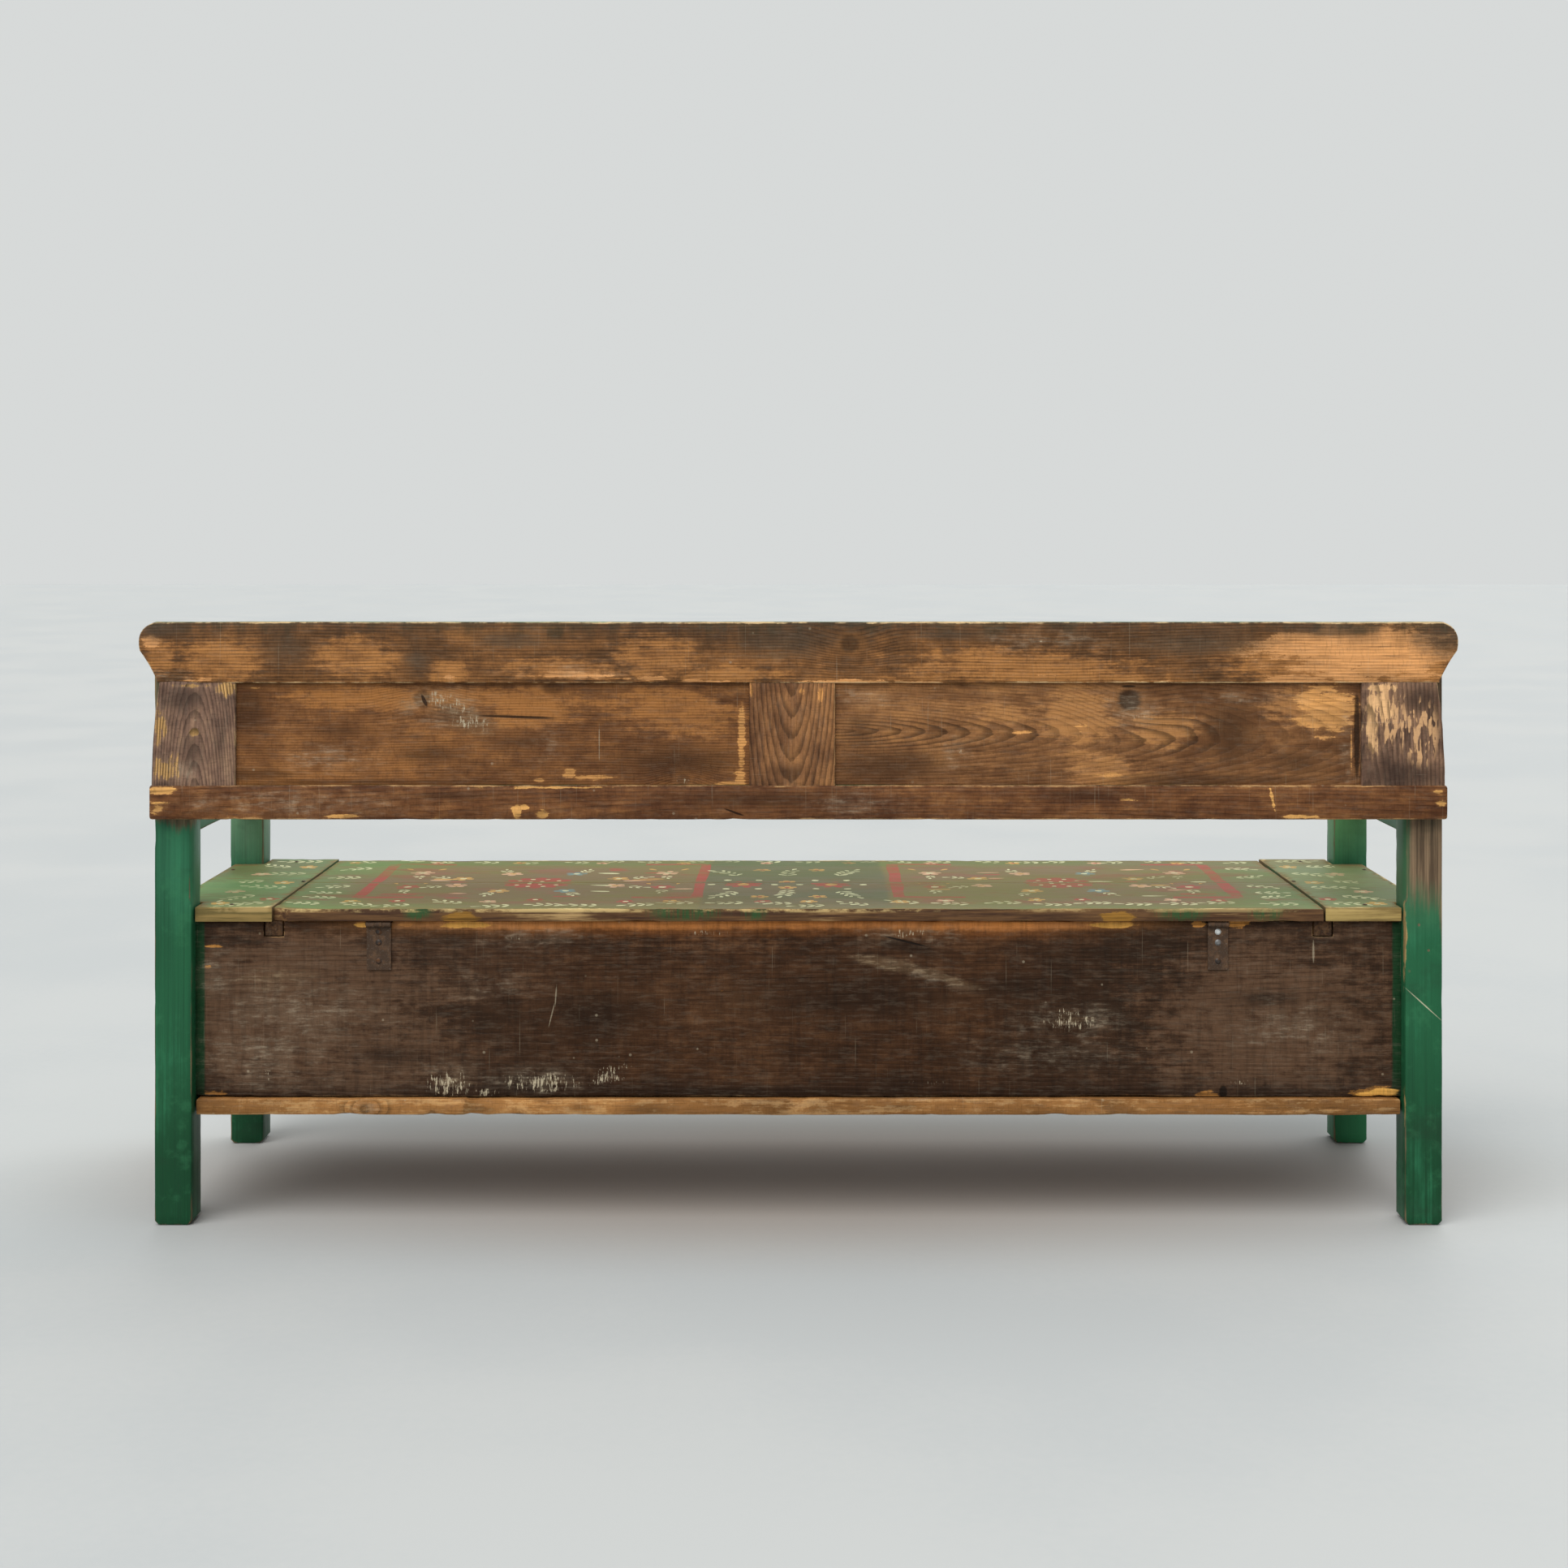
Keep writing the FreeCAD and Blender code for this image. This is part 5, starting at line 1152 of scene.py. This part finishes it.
def chest_board(notches):
    """A long board of the chest, with notches (low x, high x, depth) in its top edge from left to right."""
    end, top = 0.894 + JOINT, CHEST_HIGH
    outline = [(-end, CHEST_LOW), (end, CHEST_LOW), (end, top)]
    for low_x, high_x, depth in notches:
        outline += [(high_x, top), (high_x, top - depth), (low_x, top - depth), (low_x, top)]
    return outline + [(-end, top)]


for number, side in enumerate(("left", "right")):
    low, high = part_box(f"back_post_{side}")
    slab(f"back_post_{side}", "XZ", post_paint, upright(low.x, high.x, low.z, high.z, 0.006),
         round_by=0.0035, chip=0.0022, seed=101 + number, shape=chamfered_post(side))
    low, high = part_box(f"front_post_{side}")
    slab(f"front_post_{side}", "XZ", front_post_paint,
         upright(low.x, high.x, low.z, ARM_UNDERSIDE + JOINT, 0.001), round_by=0.0035, seed=111 + number)
    rear, nose = POSTS_REAR + JOINT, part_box(f"arm_{side}")[0].y
    fall, brow = (POSTS_FRONT, 0.632), (-0.2689, 0.6226)
    cheek, chin = (-0.2697, 0.5804), (-0.2555, ARM_UNDERSIDE)
    outline = [(rear, ARM_UNDERSIDE)] + curve((rear, 0.635), (-0.0045, 0.626), fall, 16) \
        + curve(fall, (-0.2465, 0.634), brow, 6) + curve(brow, (nose, 0.6009), cheek) \
        + curve(cheek, (-0.2615, 0.576), chin, 4) + [chin]
    slab(f"arm_{side}", "YZ", arm_paint, outline, round_by=0.005, step=0.016, fill=0.02,
         chip=0.0025, seed=121 + number)
    slab(f"side_board_{side}", "YZ", side_paint,
         rectangle(POSTS_FRONT - JOINT, POSTS_REAR + JOINT, CHEST_LOW, CHEST_HIGH), corner=0.004,
         seed=131 + number)
    slab(f"lid_bearer_{side}", "XY", inner_wood, corner=0.004, round_by=0.0015, chip=0.0012,
         seed=141 + number)
    low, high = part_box(f"lid_batten_{side}")
    end, bevel = 0.0088, 0.0132
    slab(f"lid_batten_{side}", "YZ", inner_wood,
         [(low.y + bevel, low.z), (high.y - bevel, low.z), (high.y, high.z - end), (high.y, high.z),
          (low.y, high.z), (low.y, high.z - end)], round_by=0.002, chip=0.0015, seed=151 + number)

bearer_left, bearer_right = (0.7641, 0.7924, 0.0232), (-0.7924, -0.7641, 0.0232)
straps = (0.603, 0.641, 0.0025), (-0.638, -0.606, 0.0025)
slab("back_board", "XZ", back_board_wood, chest_board((bearer_left, *straps, bearer_right)),
     chip=0.003, wave=0.0012, seed=161)
slab("front_board", "XZ", front_paint, chest_board((bearer_left, bearer_right)), seed=162)

# Bottom boards and seat ends are notched round the posts
END_X, NOTCH_X, NOTCH_REAR, NOTCH_FRONT = 0.9415, 0.892, 0.1955, -0.2045
for node, sign, notch, round_by, chip, wave, seed in (
        ("bottom_board_rear", 1, NOTCH_REAR, 0.0035, 0.004, 0.0014, 171),
        ("bottom_board_front", -1, NOTCH_FRONT, 0.003, 0.003, 0.001, 172)):
    low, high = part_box(node)
    inner, outer = (low.y, high.y)[::sign]
    end, cheek = sign * END_X, sign * NOTCH_X
    slab(node, "XY", bottom_wood,
         [(-end, inner), (end, inner), (end, notch), (cheek, notch), (cheek, outer), (-cheek, outer),
          (-cheek, notch), (-end, notch)], round_by=round_by, chip=chip, wave=wave, seed=seed)

# How much each side of the joints between lid and seat ends is closed: the left one hardly shows
CLOSED_LEFT, CLOSED_RIGHT = 0.0011, 0.0003
for side, sign in (("left", 1), ("right", -1)):
    low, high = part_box(f"seat_end_{side}")
    near, far = (low.x - CLOSED_LEFT, high.x) if sign > 0 else (high.x + CLOSED_RIGHT, low.x)
    notch = sign * NOTCH_X
    outline = [(near, low.y), (notch, low.y), (notch, NOTCH_FRONT), (far, NOTCH_FRONT), (far, NOTCH_REAR),
               (notch, NOTCH_REAR), (notch, high.y), (near, high.y)]
    margin = 0.005
    reach = sorted((near + sign * margin, notch - sign * margin))
    slab(f"seat_end_{side}", "XY", end_paint, outline[::sign],
         round_by=0.0008 if sign > 0 else 0.002, chip=0.0024, seed=181 + sign,
         strokes=strokes_in((reach[0], low.y + margin), (reach[1], high.y - margin)))

LID_SEAM, SEAM_HALF = -0.0095, 0.0002
for node, seed in (("lid_board_rear", 191), ("lid_board_front", 192)):
    low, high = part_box(node)
    rear = node == "lid_board_rear"
    low_y, high_y = (LID_SEAM + SEAM_HALF, high.y) if rear else (low.y, LID_SEAM - SEAM_HALF)
    left_x = high.x + CLOSED_LEFT
    outline = rectangle(low.x - CLOSED_RIGHT, left_x, low_y, high_y)
    if rear:
        broken_corner = ((0.0, 0.012), (0.008, 0.0105), (0.020, 0.004), (0.024, 0.0))
        outline[2:3] = [(left_x - x, high_y - y) for x, y in broken_corner]
    slab(node, "XY", lid_paint, outline, round_by=0.001, chip=0.003, wave=0.0008, seed=seed,
         strokes=strokes_in((low.x + 0.006, low_y + 0.0045), (high.x - 0.006, high_y - 0.0045)),
         quiet=(1, LID_SEAM))

ear, flat = (0.9655, 0.8486), (0.945, TOP_HIGH)
right_side = curve((0.939, TOP_LOW), (0.9505, 0.8257), ear) + curve(ear, (0.9639, 0.8756), flat) + [flat]
slab("backrest_top_rail", "XZ", top_rail_wood, right_side + mirrored(right_side),
     round_by=0.003, chip=0.0022, seed=201)
slab("backrest_bottom_rail", "XZ", bottom_rail_wood, corner=0.005, round_by=0.003, chip=0.0028,
     seed=202)
stile_low, stile_high = PANEL_LOW - JOINT, PANEL_HIGH + JOINT
outline = [(0.824, stile_high), (0.824, stile_low), (0.948, stile_low)] \
    + curve((0.948, PANEL_LOW), (0.9444, 0.734), (0.936, PANEL_HIGH)) + [(0.936, stile_high)]
for side, wood, outline, seed in (
        ("left", stile_left_wood, outline, 211), ("right", stile_right_wood, mirrored(outline), 209),
        ("middle", stile_middle_wood, rectangle(-0.0545, 0.0725, stile_low, stile_high), 213)):
    slab(f"backrest_stile_{side}", "XZ", wood, outline, (0.2542, STILE_FACE), chip=0.0014,
         seed=seed)
for side, wood, seed in (("left", panel_left_wood, 221), ("right", panel_right_wood, 222)):
    slab(f"backrest_panel_{side}", "XZ", wood, round_by=0.0015, chip=0.0, wave=0.001, seed=seed,
         creases=(FIELD_EDGE, FIELD_EDGE + FIELD_SLOPE), shape=fielded(f"backrest_panel_{side}"))

# Fasteners and iron keep their CAD solids
for nodes, material in ((("hinge_strap_left", "hinge_strap_right", "hinge_leaf_left", "hinge_leaf_right",
                          "hinge_pin_left", "hinge_pin_right"), iron("strap_iron", 61.0)),
                        (("seat_nails", "bottom_nails", "batten_nails", "hinge_leaf_nails"),
                         iron("nail_iron", 63.0)),
                        (("hinge_strap_screws",), screw_heads()),
                        (("backrest_pegs", "post_dowels", "arm_pegs"), peg_wood)):
    for node in nodes:
        mesh = frame["nodes"][node].data
        mesh.materials.clear()
        mesh.materials.append(material)

# Floor, light and camera
FLOOR_HALF = 40.0
floor_net = Net("studio_floor")
haze = floor_net.noise(1.3, 3.0, 0.5, 71.0)
fine = floor_net.noise(60.0, 3.0, 0.6, 73.0)
floor_net.colour = floor_net.between(haze + (fine - 0.5) * 0.2, (171, 174, 174), (176, 178, 177))
# Painted shadow: a warm darker patch on the floor under the bench, standing in for its shade and the light
# bounced from its brown boards.
painted_shadow_under_bench = floor_net.spot((0.0, 0.0, 0.0), (0.9, 0.34, 1.0), soft=0.6)
floor_net.coat(painted_shadow_under_bench * 0.6, (140, 123, 108))
floor_rough = floor_net.ramp(haze, 0.3, 0.7, 0.5, 0.62)
floor_mesh = bpy.data.meshes.new("floor")
corners = rectangle(-FLOOR_HALF, FLOOR_HALF, -FLOOR_HALF, FLOOR_HALF)
floor_mesh.from_pydata([(x, y, 0.0) for x, y in corners], [], [(0, 1, 2, 3)])
floor_mesh.materials.append(floor_net.finish(floor_rough, fine, 0.0003, 0.2, gleam=0.05))
floor = bpy.data.objects.new("floor", floor_mesh)
bpy.context.scene.collection.objects.link(floor)

world = bpy.data.worlds.new("studio")
bpy.context.scene.world = world
sky = Tree(world)
rise = sky.split(sky.node("TexCoord", out="Generated"))[2]
level = sky.node("MapRange", (rise, -0.1, 0.9, 0.26, 0.58))
ray = sky.node("LightPath", out="Is Camera Ray")
looks = sky.most([ray, ray.beside("Is Glossy Ray"), ray.beside("Is Transmission Ray")])
sky_strength = sky.node("Mix", {0: looks, 2: level, 3: 0.705})
sky.end("OutputWorld", sky.node("Background", {"Color": (0.965, 0.99, 0.983, 1.0), "Strength": sky_strength}))


def lamp(name, toward, strength):
    """A broad soft light from one direction, the same over the whole floor."""
    light = bpy.data.lights.new(name, "SUN")
    light.angle = math.radians(60.0)
    light.energy = strength
    made = bpy.data.objects.new(name, light)
    bpy.context.scene.collection.objects.link(made)
    made.rotation_euler = Vector(toward).to_track_quat("-Z", "Y").to_euler()
    made.location = Vector(toward) * -4.0


lamp("rear_light", (-0.30, -0.62, -0.78), 3.1)
lamp("front_light", (0.35, 0.55, -0.85), 1.3)

camera = bpy.data.cameras.new("camera")
camera.lens = 53.74
camera.sensor_width = 36.0
camera.shift_x = -0.0109
camera.shift_y = -0.1625
camera_object = bpy.data.objects.new("camera", camera)
bpy.context.scene.collection.objects.link(camera_object)
camera_object.location = (-0.004, 3.7035, EYE_HEIGHT)
camera_object.rotation_euler = (math.radians(90), 0, math.radians(180))
bpy.context.scene.camera = camera_object
bpy.context.scene.view_settings.view_transform = "Standard"
